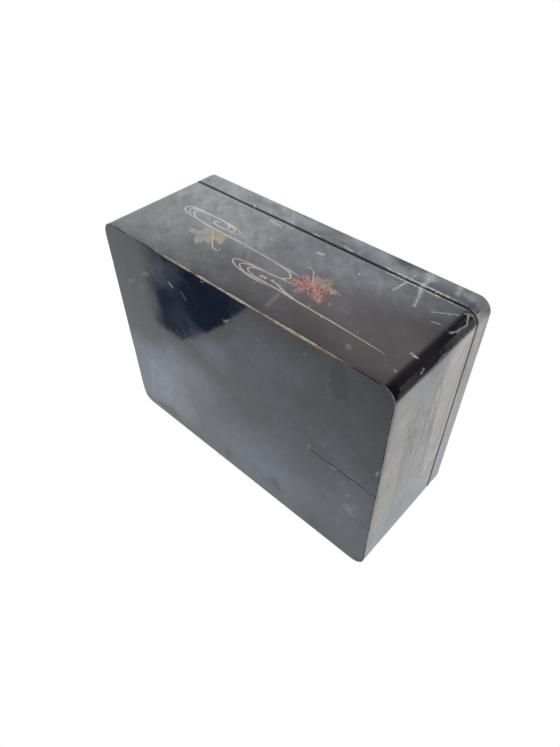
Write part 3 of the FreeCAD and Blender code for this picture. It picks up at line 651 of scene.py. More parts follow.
FRONT_STREAKS = [
    # start x z, end x z, width, strength
    (-34, 76.5, -23.5, 74, 2.0, 0.8), (14.5, 67.5, 18, 67.9, 2.2, 0.95), (47, 66.5, 47.8, 66.1, 1.2, 0.9),
    (-18.5, 59.8, -16.6, 59, 1.5, 0.5), (27.8, 59.9, 29.4, 59.3, 1.4, 0.45),
    (14.6, 76.6, 15.6, 76, 1.5, 0.3), (52, 31.9, 52.6, 31.7, 1.2, 0.7), (63.4, 32.7, 63.9, 32.5, 0.7, 0.5),
    (78.4, 23.2, 79, 22.7, 1.0, 0.45), (103, 57.2, 108.3, 58.5, 0.6, 1.1), (109, 28, 114, 28, 1.2, 0.9),
    (98.6, 64.4, 111.4, 72.3, 0.7, 0.7), (115.7, 45.5, 115.9, 34, 0.8, 0.5),
    (109.8, 12.6, 110.4, 12, 1.1, 0.6), (81, 11.5, 83, 10, 2.4, 0.22), (72.9, 79, 71.4, 67.3, 1.4, 0.8),
    (82.2, 79, 84.8, 74, 2.2, 0.9), (84.8, 74, 88.6, 62.3, 1.6, 0.7), (25, 18, 27, 8, 2.6, 0.2),
    (5, 25.4, 8.6, 25.7, 1.3, 1.3), (12.8, 26.3, 17.2, 25.8, 1.2, 1.6), (17.2, 25.8, 20, 25.3, 1.0, 1.5),
    (20, 25.3, 22.2, 24.2, 1.0, 1.5), (22.2, 24.2, 25, 23.2, 1.2, 1.6), (25, 23.2, 28.3, 22.4, 1.2, 1.6),
    (28.3, 22.4, 33.1, 21.6, 1.5, 1.6), (33.1, 21.6, 42, 21.8, 0.5, 0.6), (45, 23.1, 45.2, 22.6, 1.0, 0.5),
    (56.1, 20.3, 56.3, 20, 1.0, 0.7), (6.4, 18.2, 7.2, 17.5, 0.9, 0.4), (22, 84.3, 29.5, 83, 1.5, 0.75),
    (33.6, 88.5, 33.8, 84, 1.0, 0.4), (54, 83.5, 57.5, 83, 1.1, 0.6), (12, 88.8, 20, 90, 0.8, 0.25),
    (-30.5, 95.5, -20.5, 83, 1.4, 0.4), (79.7, 93, 82, 90.5, 5.4, 0.8), (81, 90, 81.6, 82, 2.6, 0.8),
    (72.9, 88, 72.7, 82, 1.0, 0.4), (69, 92, 69.6, 91, 2.0, 0.25), (99, 95, 101, 88, 3.0, 0.45),
    (104, 91, 110, 89, 2.6, 0.3), (-76, 70, -70, 62, 3.0, 0.2), (-110, 72, -86, 66, 3.4, 0.22),
    (-84, 28, -79, 24, 2.4, 0.35), (-108, 60, -98, 50, 3.0, 0.2), (62, 68, 66, 60, 2.6, 0.15),
    (-8, 69, -4, 66, 2.4, 0.12), (36, 77, 37, 68, 1.3, 0.14),
]
CORNER_STREAKS = [
    # on the rounded corner between the front and the right end: start x y z, end x y z, width, strength
    (114.3, -87.6, 77.5, 117.4, -85.4, 71, 1.2, 0.7), (117.4, -85.4, 71, 116.6, -86.2, 62, 1.1, 0.6),
    (116.6, -86.2, 62, 114.6, -87.5, 56.6, 1.1, 0.6), (118.4, -84, 27, 118.6, -83.4, 24, 1.0, 0.7),
    (112.6, -88.1, 76, 116.5, -86.2, 79.6, 1.0, 0.5), (119, -82, 48, 119.1, -81.6, 40, 0.8, 0.4),
]
RESIDUE_STREAKS = [
    # start x z, end x z, width, strength
    (59, 79.0, 95, 78.8, 1.1, 0.75), (57, 82.7, 100, 82.6, 1.2, 0.8), (95, 79.0, 115, 78.9, 0.7, 0.4),
    (100, 82.7, 114, 82.6, 0.8, 0.5), (90.6, 82, 92.6, 79, 1.2, 1.0), (-84, 82.6, -55, 82.6, 0.8, 0.4),
    (-57.5, 84, -53.4, 79.6, 1.2, 0.8), (-2, 83, 3.4, 82.9, 1.0, 1.0), (-90, 78.8, -60, 78.8, 1.4, 0.3),
]
# bloom on the underside, laid out for its light and dark: partly real bloom, partly painted reflection. The
# negative marks under the navy card's patch clear the bloom there, so that the patch is painted darker as a
# reflection
BASE_BLOOM_AND_REFLECTION = [
    # centre x y z, reach x y z, amount
    (-94, 50, 0, 54, 48, 30, 0.84), (-68, 18, 0, 52, 40, 30, 0.46), (-16, -28, 0, 30, 22, 30, 0.20),
    (-30, 10, 0, 34, 28, 30, 0.16), (-105, -45, 0, 40, 70, 30, -0.28), (105, 45, 0, 42, 70, 30, 0.12),
    (-20, -66, 0, 30, 40, 30, -0.25), (-60, -74, 0, 30, 26, 30, 0.12), (-50, -40, 0, 20, 20, 30, 0.04),
    (50, 45, 0, 100, 60, 30, 0.12), (-10, 55, 0, 110, 55, 30, 0.14), (50, -20, 0, 90, 70, 30, 0.05),
    (-84, 77, 0, 16, 15, 30, -0.55), (76, 84, 0, 10, 10, 30, -0.5), (86, -70.6, 0, 8, 11, 30, -0.5),
    (-104, -14, 0, 34, 20, 30, -0.12), (33.6, 70, 0, 7, 9, 30, -0.3), (-13, 79, 0, 8, 9, 30, -0.3),
    (101, 31, 0, 7, 9, 30, 0.10), (30, 70, 0, 80, 40, 30, 0.08), (40, -58, 0, 60, 26, 30, 0.10),
]
BASE_STREAKS = [
    # start x y, end x y, width, strength
    (-54, -68, -51.5, -66.4, 1.8, 0.5), (-42, -66, -39, -62.5, 2.0, 0.25),
    (-83, -61.5, -77, -64, 2.8, 0.22), (-3, -64.8, 0, -66.4, 1.5, 0.45),
    (23.8, -67.2, 26.4, -66.4, 0.7, 0.5), (100, 31, 106, 36, 3.4, 0.14), (99, 22, 101, 18, 2.4, 0.14),
    (96, 12, 97, 8, 1.8, 0.12), (85, 2.4, 90, 1.6, 1.4, 0.22), (67.5, 0, 68, -4, 1.3, 0.3),
    (117, -19, 118, -22, 1.4, 0.5), (-104, -45, -98, -49, 3.4, 0.12), (-90, -46, -85, -50, 2.8, 0.12),
    (-21, -85.6, -19, -85.8, 1.0, 0.4), (61.2, -77.5, 61.8, -78, 0.8, 0.5),
]
# bloom on the right end, thick, warm and pale, cleared towards the rear: partly real bloom, partly painted
# sheen
END_BLOOM_AND_SHEEN = [
    # centre x y z, reach x y z, amount
    (120, -34, 70, 90, 150, 32, 1.3), (120, 0, 2, 90, 150, 34, 1.1), (120, -10, 40, 90, 110, 60, 0.36),
    (120, 92, 50, 90, 62, 90, -0.9), (120, 0, 92, 80, 120, 12, 0.16),
]
END_BROWN = [(120, -28, 30, 60, 15, 9, 0.6), (120, 30, 50, 60, 18, 8, 0.4)]


def outer_lacquer(
    name, bloom_and_sheen_colours, general_bloom, bloom_and_sheen_marks, brown_marks=(), streaks=(), residue=(),
    wiped=(0, 0.85, 0), patchy=0.2, grain=0.0, relief=0.5,
):
    """The finish of one side of the outside. Everything is placed in the box's own millimetres, so that a
    mark runs on from one board to the next."""
    material, tree, shader, place = new_paint(name)
    apart = parts(tree, place)

    def warped(scale, reach):
        """The place, moved about by up to half the reach by cloudy noise."""
        clouds = put(tree, "ShaderNodeTexNoise", place)
        clouds.inputs["Scale"].default_value = scale
        clouds.inputs["Detail"].default_value = 4.0
        centred = vector(tree, "SUBTRACT", clouds.outputs["Color"], (0.5, 0.5, 0.5))
        return vector(tree, "ADD", place, scaled(tree, centred, reach))

    def gathered(operation, masks, start=0.0):
        """Adds up masks, or keeps the strongest, each times its amount."""
        total = start
        for mask, amount in masks:
            total = maths(tree, operation, times(tree, mask, amount), total)
        return total

    wide = warped(0.022, 46.0)
    near = warped(0.35, 1.5)
    level = warped(0.12, 1.0)

    def clouds(marks):
        return [
            (use(tree, CLOUD, wide, Centre=mark[:3], Reach=mark[3:6]), mark[6])
            for mark in marks
        ]

    def lines(marks, at):
        runs = [tuple(b - a for a, b in zip(mark[:3], mark[3:6])) for mark in marks]
        return [
            (use(tree, STREAK, at, Start=mark[:3], Width=mark[6], Run=run), mark[7])
            for mark, run in zip(marks, runs)
        ]

    # bloom, partly painted sheen and reflection, and brown haze: marks at their places, made uneven by a
    # mottle and by wiping strokes
    general = use(tree, BLOOM, place, Scale=0.016, Start=0.38, Full=0.68)
    mottle = noise(tree, place, 0.11, 6.0, 0.66)
    bloom = gathered("ADD", clouds(bloom_and_sheen_marks), times(tree, general, general_bloom))
    wipes = noise(tree, turned_by(tree, place, wiped), (0.17, 0.05, 0.03), 6.0, 0.68)
    clouded = ramp(tree, mottle, 0.30, 0.70, 1 - patchy, 1 + patchy)
    wiped_off = ramp(tree, wipes, 0.34, 0.66, 1 - 0.8 * patchy, 1 + 0.8 * patchy)
    bloom = maths(tree, "MINIMUM", maths(tree, "MAXIMUM", bloom, 0.0), THICKEST_BLOOM)
    bloom = times(tree, bloom, times(tree, clouded, wiped_off))
    brown = gathered("ADD", clouds(brown_marks), times(tree, mottle, 0.12))
    brown = maths(tree, "MINIMUM", brown, 1.0)

    # both are thin on the rounded corners, except on the lid, and there is none in the seam, which paints
    # shade along it
    spread = parts(tree, vector(tree, "ABSOLUTE", place))
    past_x = less(tree, spread[0], HALF_LENGTH - CORNER)
    past_y = less(tree, spread[1], HALF_DEPTH - CORNER)
    kept = ramp(tree, maths(tree, "MINIMUM", past_x, past_y), 0.3, 3.2, 1.0, 0.15)
    kept = maths(tree, "MAXIMUM", kept, ramp(tree, apart[2], 80.0, 84.0, 0.0, 0.95))
    seam = use(tree, ARRIS_DISTANCE, place, Height=SEAM_LEVEL)
    kept = times(tree, kept, ramp(tree, seam, 0.8, 1.8))
    bloom = times(tree, bloom, kept)
    brown = times(tree, brown, kept)
    haze = maths(tree, "MINIMUM", bloom, 1.0)

    colour = blend(tree, noise(tree, place, 0.02, 3.0), BLACK, BROWN_BLACK)
    colour = blend(tree, brown, colour, BROWN_HAZE)
    colour = blend(tree, haze, colour, blend(tree, ramp(tree, apart[0], -55.0, 15.0), *bloom_and_sheen_colours))
    if grain:
        stripes = noise(tree, warped(0.03, 12.0), (0.012, 0.012, 0.22), 5.0, 0.62)
        colour = blend(tree, times(tree, ramp(tree, stripes, 0.50, 0.66), grain), colour, BROWN_HAZE)

    # the lowest arris: rubbed to the ground coat, and to bare wood along the middle of the front
    under = use(tree, ARRIS_DISTANCE, place, Height=0.0)
    wooden = times(tree, ramp(tree, apart[1], -80.0, -86.0), ramp(tree, apart[0], -70.0, -40.0))
    wooden = times(tree, wooden, ramp(tree, apart[0], 90.0, 70.0))
    bare = ramp(tree, wooden, 0.0, 1.0, 0.72, 0.95)
    reach = ramp(tree, wooden, 0.0, 1.0, 0.85, 1.25)
    worn = use(tree, RUBBED, place, Distance=under, Reach=reach, Bare=bare)
    worn = times(tree, worn, ramp(tree, noise(tree, place, 0.16, 4.0, 0.7), 0.32, 0.46, 0.35, 1.0))
    wood = blend(tree, ramp(tree, noise(tree, place, 0.3, 3.0, 0.6), 0.42, 0.60), BARE_TAN, BARE_PALE)
    colour = blend(tree, worn, colour, blend(tree, wooden, GROUND_COAT, wood))

    # the lips of the seam, rubbed most at the right of the front, and the rim of the lid's top
    handled = ramp(tree, apart[0], -45.0, -60.0, 0.0, 0.3)
    handled = maths(tree, "MAXIMUM", ramp(tree, apart[0], 54.0, 62.0), handled)
    handled = times(tree, handled, ramp(tree, apart[1], -60.0, -84.0, 0.15, 1.0))
    lip_band = times(tree, ramp(tree, seam, 1.0, 1.4), ramp(tree, seam, 2.3, 1.7))
    lips = use(tree, RUBBED, place, Distance=0.1, Reach=1.0, Bare=0.62)
    lips = times(tree, times(tree, lips, lip_band), handled)
    lips = times(tree, lips, ramp(tree, noise(tree, place, 0.12, 5.0, 0.6), 0.40, 0.56))
    colour = blend(tree, times(tree, lips, 0.7), colour, GROUND_COAT)
    top = use(tree, ARRIS_DISTANCE, place, Height=LID_TOP)
    rim = use(tree, RUBBED, place, Distance=top, Reach=2.0, Bare=0.4)
    colour = blend(tree, times(tree, rim, 0.5), colour, GROUND_COAT)

    # scuffs and residue at their places, and hairlines and specks all over
    broken = ramp(tree, noise(tree, place, 0.9, 5.0, 0.7), 0.36, 0.58, 0.15, 1.15)
    pale = times(tree, gathered("MAXIMUM", lines(streaks, near)), broken)
    colour = blend(tree, pale, colour, SCRAPED)
    crust = times(tree, gathered("MAXIMUM", lines(residue, level)), broken)
    colour = blend(tree, crust, colour, RESIDUE)
    scratches = use(
        tree, SCRATCHES, place, Turn=(0.2, 0.5, 0.3), Stretch=(0.05, 0.4, 0.3), Width=0.006, Share=0.30,
    )
    colour = blend(tree, times(tree, scratches, 0.25), colour, DUST)
    specks = use(tree, SPECKS, place, Density=0.16, Size=0.07, Share=0.16)
    colour = blend(tree, times(tree, specks, 0.8), colour, DUST)

    # the bloom dulls the gloss, and what is worn or crusted is matt
    rough = plus(tree, plus(tree, 0.05, times(tree, haze, 0.6)), times(tree, brown, 0.12))
    dull = maths(tree, "MAXIMUM", maths(tree, "MAXIMUM", worn, lips), maths(tree, "MAXIMUM", pale, crust))
    rough = maths(tree, "MAXIMUM", rough, times(tree, dull, 0.6))
    brushed = noise(tree, place, (0.06, 0.06, 0.18), 3.0, 0.5)
    height = plus(tree, brushed, times(tree, plus(tree, pale, crust), 0.06))
    coat(tree, shader, colour, rough, height, relief, 0.12)
    return material


def on_front(marks):
    """Marks given by x and z, put on the front's face."""
    face = -HALF_DEPTH
    return [(m[0], face, m[1], m[2], face, m[3], m[4], m[5]) for m in marks]


def on_base(marks):
    """Marks given by x and y, put on the underside."""
    return [(m[0], m[1], 0, m[2], m[3], 0, m[4], m[5]) for m in marks]


# the front's bloom and painted sheen run on round the corner and over the lid's edge
PLAIN_LACQUER = outer_lacquer("plain lacquer", (BLOOM_GREY, BLOOM_VIOLET), 0.14, FRONT_BLOOM_AND_SHEEN)
BASE_LACQUER = outer_lacquer(
    "base lacquer", (BLOOM_COOL, BLOOM_BLUE), 0.08, BASE_BLOOM_AND_REFLECTION, streaks=on_base(BASE_STREAKS),
    wiped=(0, 0, -0.42), patchy=0.16,
)
FRONT_LACQUER = outer_lacquer(
    "front lacquer", (BLOOM_GREY, BLOOM_VIOLET), 0.06, FRONT_BLOOM_AND_SHEEN, FRONT_BROWN,
    on_front(FRONT_STREAKS) + CORNER_STREAKS, on_front(RESIDUE_STREAKS),
)
END_LACQUER = outer_lacquer(
    "end lacquer", (WARM_BLOOM_AND_SHEEN, WARM_BLOOM_AND_SHEEN), 0.08, END_BLOOM_AND_SHEEN, END_BROWN, CORNER_STREAKS,
    wiped=(0, 0, 0), patchy=0.12, grain=0.3, relief=0.1,
)
SIDE_LACQUER = {"front": FRONT_LACQUER, "right": END_LACQUER, "rear": PLAIN_LACQUER, "left": PLAIN_LACQUER}
dress_board(base_board, BASE_LACQUER, SIDE_LACQUER, base_low.z)


# Walls of the box: four mitred boards under the same lacquer, each with half of each rounded corner. They
# stand on the base board, and their upper edges are rounded where the lid's walls come down to them.
def tube_faces(rows, columns, inside_out=False):
    """The faces of a tube: quads from each closed ring of points to the next, then a cap on either end.
    Inside out winds each face the other way, for rings that run the other way round."""
    number = np.arange(rows * columns).reshape(rows, columns)
    ahead = np.roll(number, -1, axis=1)
    corners, caps = [number[:-1], number[1:], ahead[1:], ahead[:-1]], [number[0], number[-1][::-1]]
    if inside_out:
        corners, caps = [number[:-1], ahead[:-1], ahead[1:], number[1:]], [number[0][::-1], number[-1]]
    return np.stack(corners, axis=-1).reshape(-1, 4).tolist() + [cap.tolist() for cap in caps]


def wall_section(run, thickness, corner, across_count):
    """Where a mitred wall's outer and inner faces lie along its length, in its own frame.

    The outer face is straight, with an eighth of a circle round the corner at each end. The inner face is
    straight from mitre to mitre. Returns the outer points, their outward normals and the inner points."""
    eighth = np.linspace(0, math.pi / 4, 10)[1:]
    angle = np.concatenate([-eighth[::-1], np.zeros(across_count), eighth])
    straight = np.linspace(-(run / 2 - corner), run / 2 - corner, across_count)
    middle = np.pad(straight, len(eighth), mode="edge")
    outer = np.stack([middle + corner * np.sin(angle), corner * (1 - np.cos(angle))], axis=1)
    normal = np.stack([np.sin(angle), -np.cos(angle)], axis=1)
    inner_x = middle + angle / (math.pi / 4) * (corner - thickness)
    return outer, normal, np.stack([inner_x, np.full(len(angle), thickness)], axis=1)


WALL_ROWS = 24
# each side of the box, and the turn about Z that brings the front to it
SIDES = {"front": 0.0, "right": 90.0, "rear": 180.0, "left": 270.0}


def to_box(side, flat):
    """Turns places from a side's own frame, with its outer face on y = 0 and outward as -y, to the box's."""
    cos, sin = math.cos(math.radians(SIDES[side])), math.sin(math.radians(SIDES[side]))
    along, inward = flat[..., 0], flat[..., 1] - (HALF_DEPTH if SIDES[side] % 180 == 0 else HALF_LENGTH)
    return np.stack([cos * along - sin * inward, sin * along + cos * inward], axis=-1)


def wall_surface(name, side, thickness, low, high, low_lip, high_lip, chips):
    """A mitred wall as a ring of points round its section, carried along its length.

    The ring goes up the outer face, turning through each lip as a quarter circle, then over the top, down
    the inner face and back under the foot."""
    run = 2 * (HALF_LENGTH if SIDES[side] % 180 == 0 else HALF_DEPTH)
    outer, normal, inner = wall_section(run, thickness, CORNER, 2 * int(run / 2.4))
    at = to_box(side, outer)
    chip = chip_depth(at[:, 0], at[:, 1], chips)[:, None]
    quarter = np.linspace(0, math.pi / 2, 7)[None, :]
    foot_radius = (low_lip + chip) if low_lip else np.zeros((len(outer), 1))
    head_radius = (high_lip + chip) if high_lip else np.zeros((len(outer), 1))
    face_rows = np.linspace(0, 1, WALL_ROWS)[None, 1:-1]
    face_low, face_high = low + foot_radius, high - head_radius
    heights = np.hstack([
        low + foot_radius * (1 - np.cos(quarter)),
        face_low + (face_high - face_low) * face_rows,
        high - head_radius * (1 - np.sin(quarter)),
    ])
    back = np.hstack([
        foot_radius * (1 - np.sin(quarter)),
        np.zeros((len(outer), face_rows.shape[1])),
        head_radius * (1 - np.cos(quarter)),
    ])
    skin = outer[:, None, :] - normal[:, None, :] * back[..., None]
    top_share = np.array([0.35, 0.7])[None, :, None]
    top = skin[:, -1:, :] * (1 - top_share) + inner[:, None, :] * top_share
    inside = np.repeat(inner[:, None, :], 4, axis=1)
    foot = skin[:, :1, :] * top_share + inner[:, None, :] * (1 - top_share)
    flat = np.concatenate([skin, top, inside, foot], axis=1)
    level = np.concatenate([
        heights,
        np.full((len(outer), 2), high),
        np.broadcast_to(np.linspace(high, low, 4), (len(outer), 4)),
        np.full((len(outer), 2), low),
    ], axis=1)
    points = np.concatenate([to_box(side, flat), level[..., None]], axis=-1)
    faces = tube_faces(*level.shape)
    return mesh_object(name, points, faces, len(faces) - 2, 50)


wall_low, wall_high = corners_of("front_wall")
WALL_THICKNESS = 7.0 - GOLD_STANDS
LIP = 1.0
SEAM_OPENS = 0.3
SEAM_CHIPS = scattered_chips(11, 60, 0.8, 3.5, 0.5)
for side in SIDES:
    wall = wall_surface(
        f"{side}_wall_worn", side, WALL_THICKNESS, wall_low.z, wall_high.z - SEAM_OPENS, 0, LIP, SEAM_CHIPS,
    )
    wall.data.materials.append(SIDE_LACQUER[side])
    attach(wall, "box")
    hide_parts(f"{side}_wall")


# The stream and the maple leaves: lines and shapes drawn in wet lacquer and dusted with gold, so that they
# stand a hair proud. The gold is rubbed and dulled, and one leaf is red. The right end's are fainter.
def smooth_path(points, step):
    """A smooth line through given points, at even steps. Between two points it is the cubic whose slope
    at each is half the way from the point before it to the point after it."""
    held = np.asarray(points, float)
    held = np.vstack([2 * held[0] - held[1], held, 2 * held[-1] - held[-2]])
    share = np.linspace(0, len(points) - 1, 24 * (len(points) - 1) + 1)
    start = np.minimum(share.astype(int), len(points) - 2)
    t = (share - start)[:, None]
    a, b, c, d = (held[start + k] for k in range(4))
    square, cube = a - 2.5 * b + 2 * c - d / 2, 1.5 * (b - c) + (d - a) / 2
    line = b + (c - a) * t / 2 + square * t ** 2 + cube * t ** 3
    run = np.concatenate([[0], np.cumsum(np.hypot(*np.diff(line, axis=0).T))])
    even = np.linspace(0, run[-1], max(int(run[-1] / step), 8))
    return np.column_stack([np.interp(even, run, line[:, 0]), np.interp(even, run, line[:, 1])])


LINE_STEP = 0.55
# how far a line's edges, its keel and a leaf's keel sink into the lacquer
LINE_FOOT, LINE_KEEL, LEAF_KEEL = 0.04, 0.08, 0.06
# how far a line, a leaf and a stem stand proud of it
LINE_RISE, LEAF_RISE, STEM_RISE = 0.08, 0.05, 0.085


def drawn_line(points, width, rise, thin=9.0, fade=(1, 1)):
    """A raised brush line: at each step a lens across the path, half an ellipse above and a keel below.

    It thins towards an end over the thin length, as the square root of the share of it, where fade is 1."""
    path = smooth_path(points, LINE_STEP)
    heading = np.gradient(path, axis=0)
    heading /= np.hypot(heading[:, 0], heading[:, 1])[:, None]
    across = np.stack([-heading[:, 1], heading[:, 0]], axis=1)
    run = np.linspace(0, 1, len(path)) * LINE_STEP * len(path)
    ends = [np.sqrt(np.clip(run / thin, 0, 1)), np.sqrt(np.clip((run[-1] - run) / thin, 0, 1))]
    taper = np.where(fade[0], ends[0], 1) * np.where(fade[1], ends[1], 1)
    pressed = 1 + 0.10 * np.sin(run / 4.1 + points[0][0]) + 0.05 * np.sin(run / 1.3)
    half = np.maximum(width / 2 * taper * pressed, 0.05)
    over = np.linspace(0, math.pi, 7)
    flat = path[:, None, :] + across[:, None, :] * half[:, None, None] * np.cos(over)[None, :, None]
    out = (rise + LINE_FOOT) * np.sin(over)[None, :] * np.minimum(1, taper)[:, None] ** 0.5 - LINE_FOOT
    keel = np.concatenate([path, np.full((len(path), 1), -LINE_KEEL)], axis=1)[:, None, :]
    points = np.concatenate([np.concatenate([flat, out[..., None]], axis=2), keel], axis=1)
    return points.reshape(-1, 3), tube_faces(*points.shape[:2], inside_out=True)


def leaf_edge(corners, tooth):
    """A leaf's edge through its tips and notches in order: each run bows out by a twentieth of its length,
    and carries teeth as a triangle wave across it, which grows from nothing at both ends as a sine."""
    corners = np.asarray(corners, float)
    runs = np.roll(corners, -1, axis=0) - corners
    length = np.hypot(runs[:, 0], runs[:, 1])[:, None]
    share = np.linspace(0, 1, 22, endpoint=False)[None, :]
    out = np.stack([-runs[:, 1], runs[:, 0]], axis=1) / length
    ahead = np.roll(corners, -1, axis=0)
    turning = np.sum(corners[:, 0] * ahead[:, 1] - corners[:, 1] * ahead[:, 0])
    out = out * (-1 if turning > 0 else 1)
    teeth = np.maximum(np.round(length / 1.25), 2)
    wave = np.abs((share * teeth) % 1 - 0.5) * 2 - 0.5
    offset = 0.05 * length * np.sin(math.pi * share) + tooth * wave * np.sin(math.pi * share) ** 0.5
    edge = corners[:, None, :] + runs[:, None, :] * share[..., None] + out[:, None, :] * offset[..., None]
    edge = edge.reshape(-1, 2)
    return edge if turning > 0 else edge[::-1]


def leaf_shape(centre, corners, rise, tooth=0.35):
    """A thin leaf: rings of its edge shrunk towards the centre, domed as one less the square of the
    ring's share of the way out, with a keel under the whole."""
    edge = leaf_edge(corners, tooth)
    share = np.linspace(0.12, 1, 9)[:, None, None]
    middle = np.asarray(centre, float)
    rings = middle + (edge - middle)[None] * share
    out = rise * (1 - 0.75 * share[..., 0] ** 2) + np.zeros((1, len(edge)))
    top = np.concatenate([rings, out[..., None]], axis=2)
    foot = np.concatenate([edge, np.full((len(edge), 1), -LEAF_KEEL)], axis=1)[None]
    grid = np.concatenate([top, foot])
    points = np.concatenate([grid.reshape(-1, 3), [[*middle, rise]], [[*middle, -LEAF_KEEL]]])
    *quads, inmost, outmost = tube_faces(*grid.shape[:2])
    above, below = len(points) - 2, len(points) - 1
    fans = [[above, a, b] for a, b in zip(inmost, inmost[1:] + inmost[:1])]
    fans += [[below, a, b] for a, b in zip(outmost, outmost[1:] + outmost[:1])]
    return points, quads + fans


def laid_on(name, side, shapes):
    """Joins shapes, given by their place along a side, their height and how far they stand out, and lays
    them on that side of the box."""
    points, faces, count = [], [], 0
    for shape_points, shape_faces in shapes:
        points.append(shape_points)
        faces += [[corner + count for corner in face] for face in shape_faces]
        count += len(shape_points)
    flat = np.concatenate(points)
    at = to_box(side, np.stack([flat[:, 0], -flat[:, 2]], axis=1))
    return mesh_object(name, np.column_stack([at, flat[:, 1]]), faces, len(faces), 50)


FRONT_STREAM = [
    # points, x and z, then the width, the length that the ends thin over and which of the ends do
    ([(-55.5, 51.3), (-58.5, 51.3), (-61, 50.7), (-61.8, 49.6), (-60.6, 48.4), (-58, 47.5), (-54.5, 47.1),
      (-51, 47), (-48.6, 47.6), (-47.9, 49.2), (-48.4, 50.8), (-50, 51.9), (-53, 52.9), (-57, 53.6)], 1.3),
    ([(-54, 53.6), (-50, 52.9), (-46, 52), (-43.2, 50.9), (-42.3, 49.7), (-43.2, 48.4), (-46, 47.3),
      (-50, 46.9)], 1.15),
    ([(-57, 54.2), (-50, 53.8), (-45, 53), (-40.4, 52), (-37.9, 50.7), (-37.8, 49.4), (-39.8, 48.3),
      (-43, 47.4), (-46.5, 47)], 1.05),
    ([(-50, 53.1), (-57.5, 53.9), (-65, 53.9), (-72.5, 53.5), (-77.5, 52.9), (-80.2, 51.7), (-80.9, 49.8),
      (-80, 47.7), (-78, 46), (-75, 44.8), (-70, 43.8), (-65, 43.3), (-60, 43.1), (-50, 42.9), (-40, 43),
      (-30, 43), (-20, 42.7), (-8, 42.2), (2.8, 41.5), (10, 40.6), (13.9, 39.7), (16.7, 38.4), (18.6, 36.9),
      (19.3, 35.4), (18.7, 34), (16.8, 32.5), (14.2, 31.4), (9, 30.7), (3, 30.2), (-2.2, 29.4), (-5, 28.3),
      (-6.4, 26.8), (-6.1, 25.5), (-4.4, 24.3), (-1.7, 23.3), (2.5, 22.7), (8, 22.4), (19.4, 22.2),
      (30.6, 21.7), (41.7, 21.2), (52.8, 20.9), (66, 20.5), (82, 19.8), (101.6, 18.8)], 1.25, 60.0, (0, 1)),
    ([(-66, 54.4), (-74, 54.1), (-80, 53.4), (-84.4, 52), (-85.9, 50), (-85.2, 48), (-83, 46.4),
      (-79.5, 45.2)], 1.05),
    ([(-76, 54.4), (-83, 53.7), (-88, 52.5), (-90.2, 50.6), (-90, 48.4), (-88.2, 46.6), (-85.2, 45.3),
      (-80, 44.5), (-74, 44)], 1.05),
    ([(4, 30.6), (-3, 30), (-8, 29.2), (-11.8, 27.9), (-13.4, 26.2), (-12.3, 24.6), (-9.4, 23), (-5.5, 22),
      (0, 21.5), (8, 21.3)], 1.05),
    ([(2, 31), (-6, 30.4), (-12.5, 29.8), (-17.5, 28.7), (-20, 27.1), (-19, 25.4), (-16.5, 23.8),
      (-12.8, 22.6), (-8, 21.6), (-2, 20.8), (6, 20.6), (16, 21.1)], 1.05),
    ([(5, 41.6), (10.6, 41.4), (15, 41), (19.4, 40.6), (23.2, 40.2)], 1.05),
    ([(9, 30.9), (14, 31.3), (18, 31.6), (23, 31.8), (28.3, 31.8)], 1.05),
]
PALE_LEAF = [
    (-41.5, 42.4), (-40.3, 38.6), (-39.2, 36.4), (-37.2, 31.8), (-40.6, 33.6), (-45.2, 34.3), (-46.4, 31.4),
    (-44.2, 28.8), (-47.4, 28.3), (-49.6, 29.8), (-50.6, 26), (-50.4, 22.2), (-54, 24.7), (-57.3, 27.6),
    (-57.2, 30.6), (-61, 29.6), (-68.2, 31.6), (-62.6, 34.9), (-58.2, 36.4), (-60.8, 39), (-64.2, 42.4),
    (-52, 42.2),
]
PALE_CENTRE = (-50.5, 37.6)
PALE_TIPS = [
    (-38, 33), (-50.4, 23.5), (-66.5, 31.8), (-45.4, 29.5), (-62.5, 41.6), (-42, 41.5), (-54.5, 41.6),
]
PALE_STEM = [
    (-51, 39), (-48.4, 36), (-45.4, 32.6), (-42, 29.3), (-38.8, 27.1), (-35.8, 26.2), (-33.9, 27),
    (-34.6, 29.2), (-35.9, 30.6),
]
RED_LEAF = [
    (35.2, 45.2), (36.2, 48.2), (38.2, 51.8), (40.4, 50), (42.5, 47), (41.9, 44.8), (46, 44), (52.8, 42.3),
    (48.2, 40.3), (45, 38.2), (43, 37.4), (45.6, 33.6), (49.4, 27.4), (44, 28.8), (38.4, 29.8), (35, 32.2),
    (33.2, 30.2), (29.2, 25.7), (28.8, 29.4), (28, 32.4), (23.6, 32.9), (19.4, 35), (22.4, 36.6),
    (24.6, 37.9), (22.6, 40.6), (22.8, 45.2), (26, 42.8), (29.8, 41), (30.3, 44), (29.6, 47.9),
    (32.8, 47.8),
]
RED_CENTRE = (34.2, 38.9)
RED_TIPS = [(38.2, 50.6), (51, 42), (48.4, 28.6), (29.6, 27.4), (20.8, 35), (23.4, 43.8), (30.6, 47)]
RED_STEM = [
    (33.4, 39.8), (31.2, 42.2), (29.6, 44.4), (28.2, 46.4), (26.6, 48.5), (24.9, 50.1), (22.8, 51.1),
    (20.8, 51.5), (20.2, 50.6), (21.2, 49.2),
]


def vein_lines(centre, tips, width, rise):
    """The veins of a leaf: one to each tip, and on both sides of it five shorter ones. These leave it at even
    steps and run a sixth of its length ahead, and outward by a sine that is greatest half way along."""
    lines = []
    middle = np.asarray(centre, float)
    for tip in np.asarray(tips, float):
        run = tip - middle
        across = np.array([-run[1], run[0]])
        bow = middle + run * 0.5 + across * 0.04
        lines.append(drawn_line([middle, bow, tip], width, rise, 4.0, (0, 1)))
        for share in (0.22, 0.36, 0.5, 0.64, 0.78):
            for hand in (-1, 1):
                root = middle + run * share + across * 0.03
                end = root + run * 0.16 + across * hand * (0.10 + 0.13 * math.sin(math.pi * share))
                bow = (root + end) / 2 + run * 0.012
                lines.append(drawn_line([root, bow, end], width * 0.7, rise, 2.0, (0, 1)))
    return lines


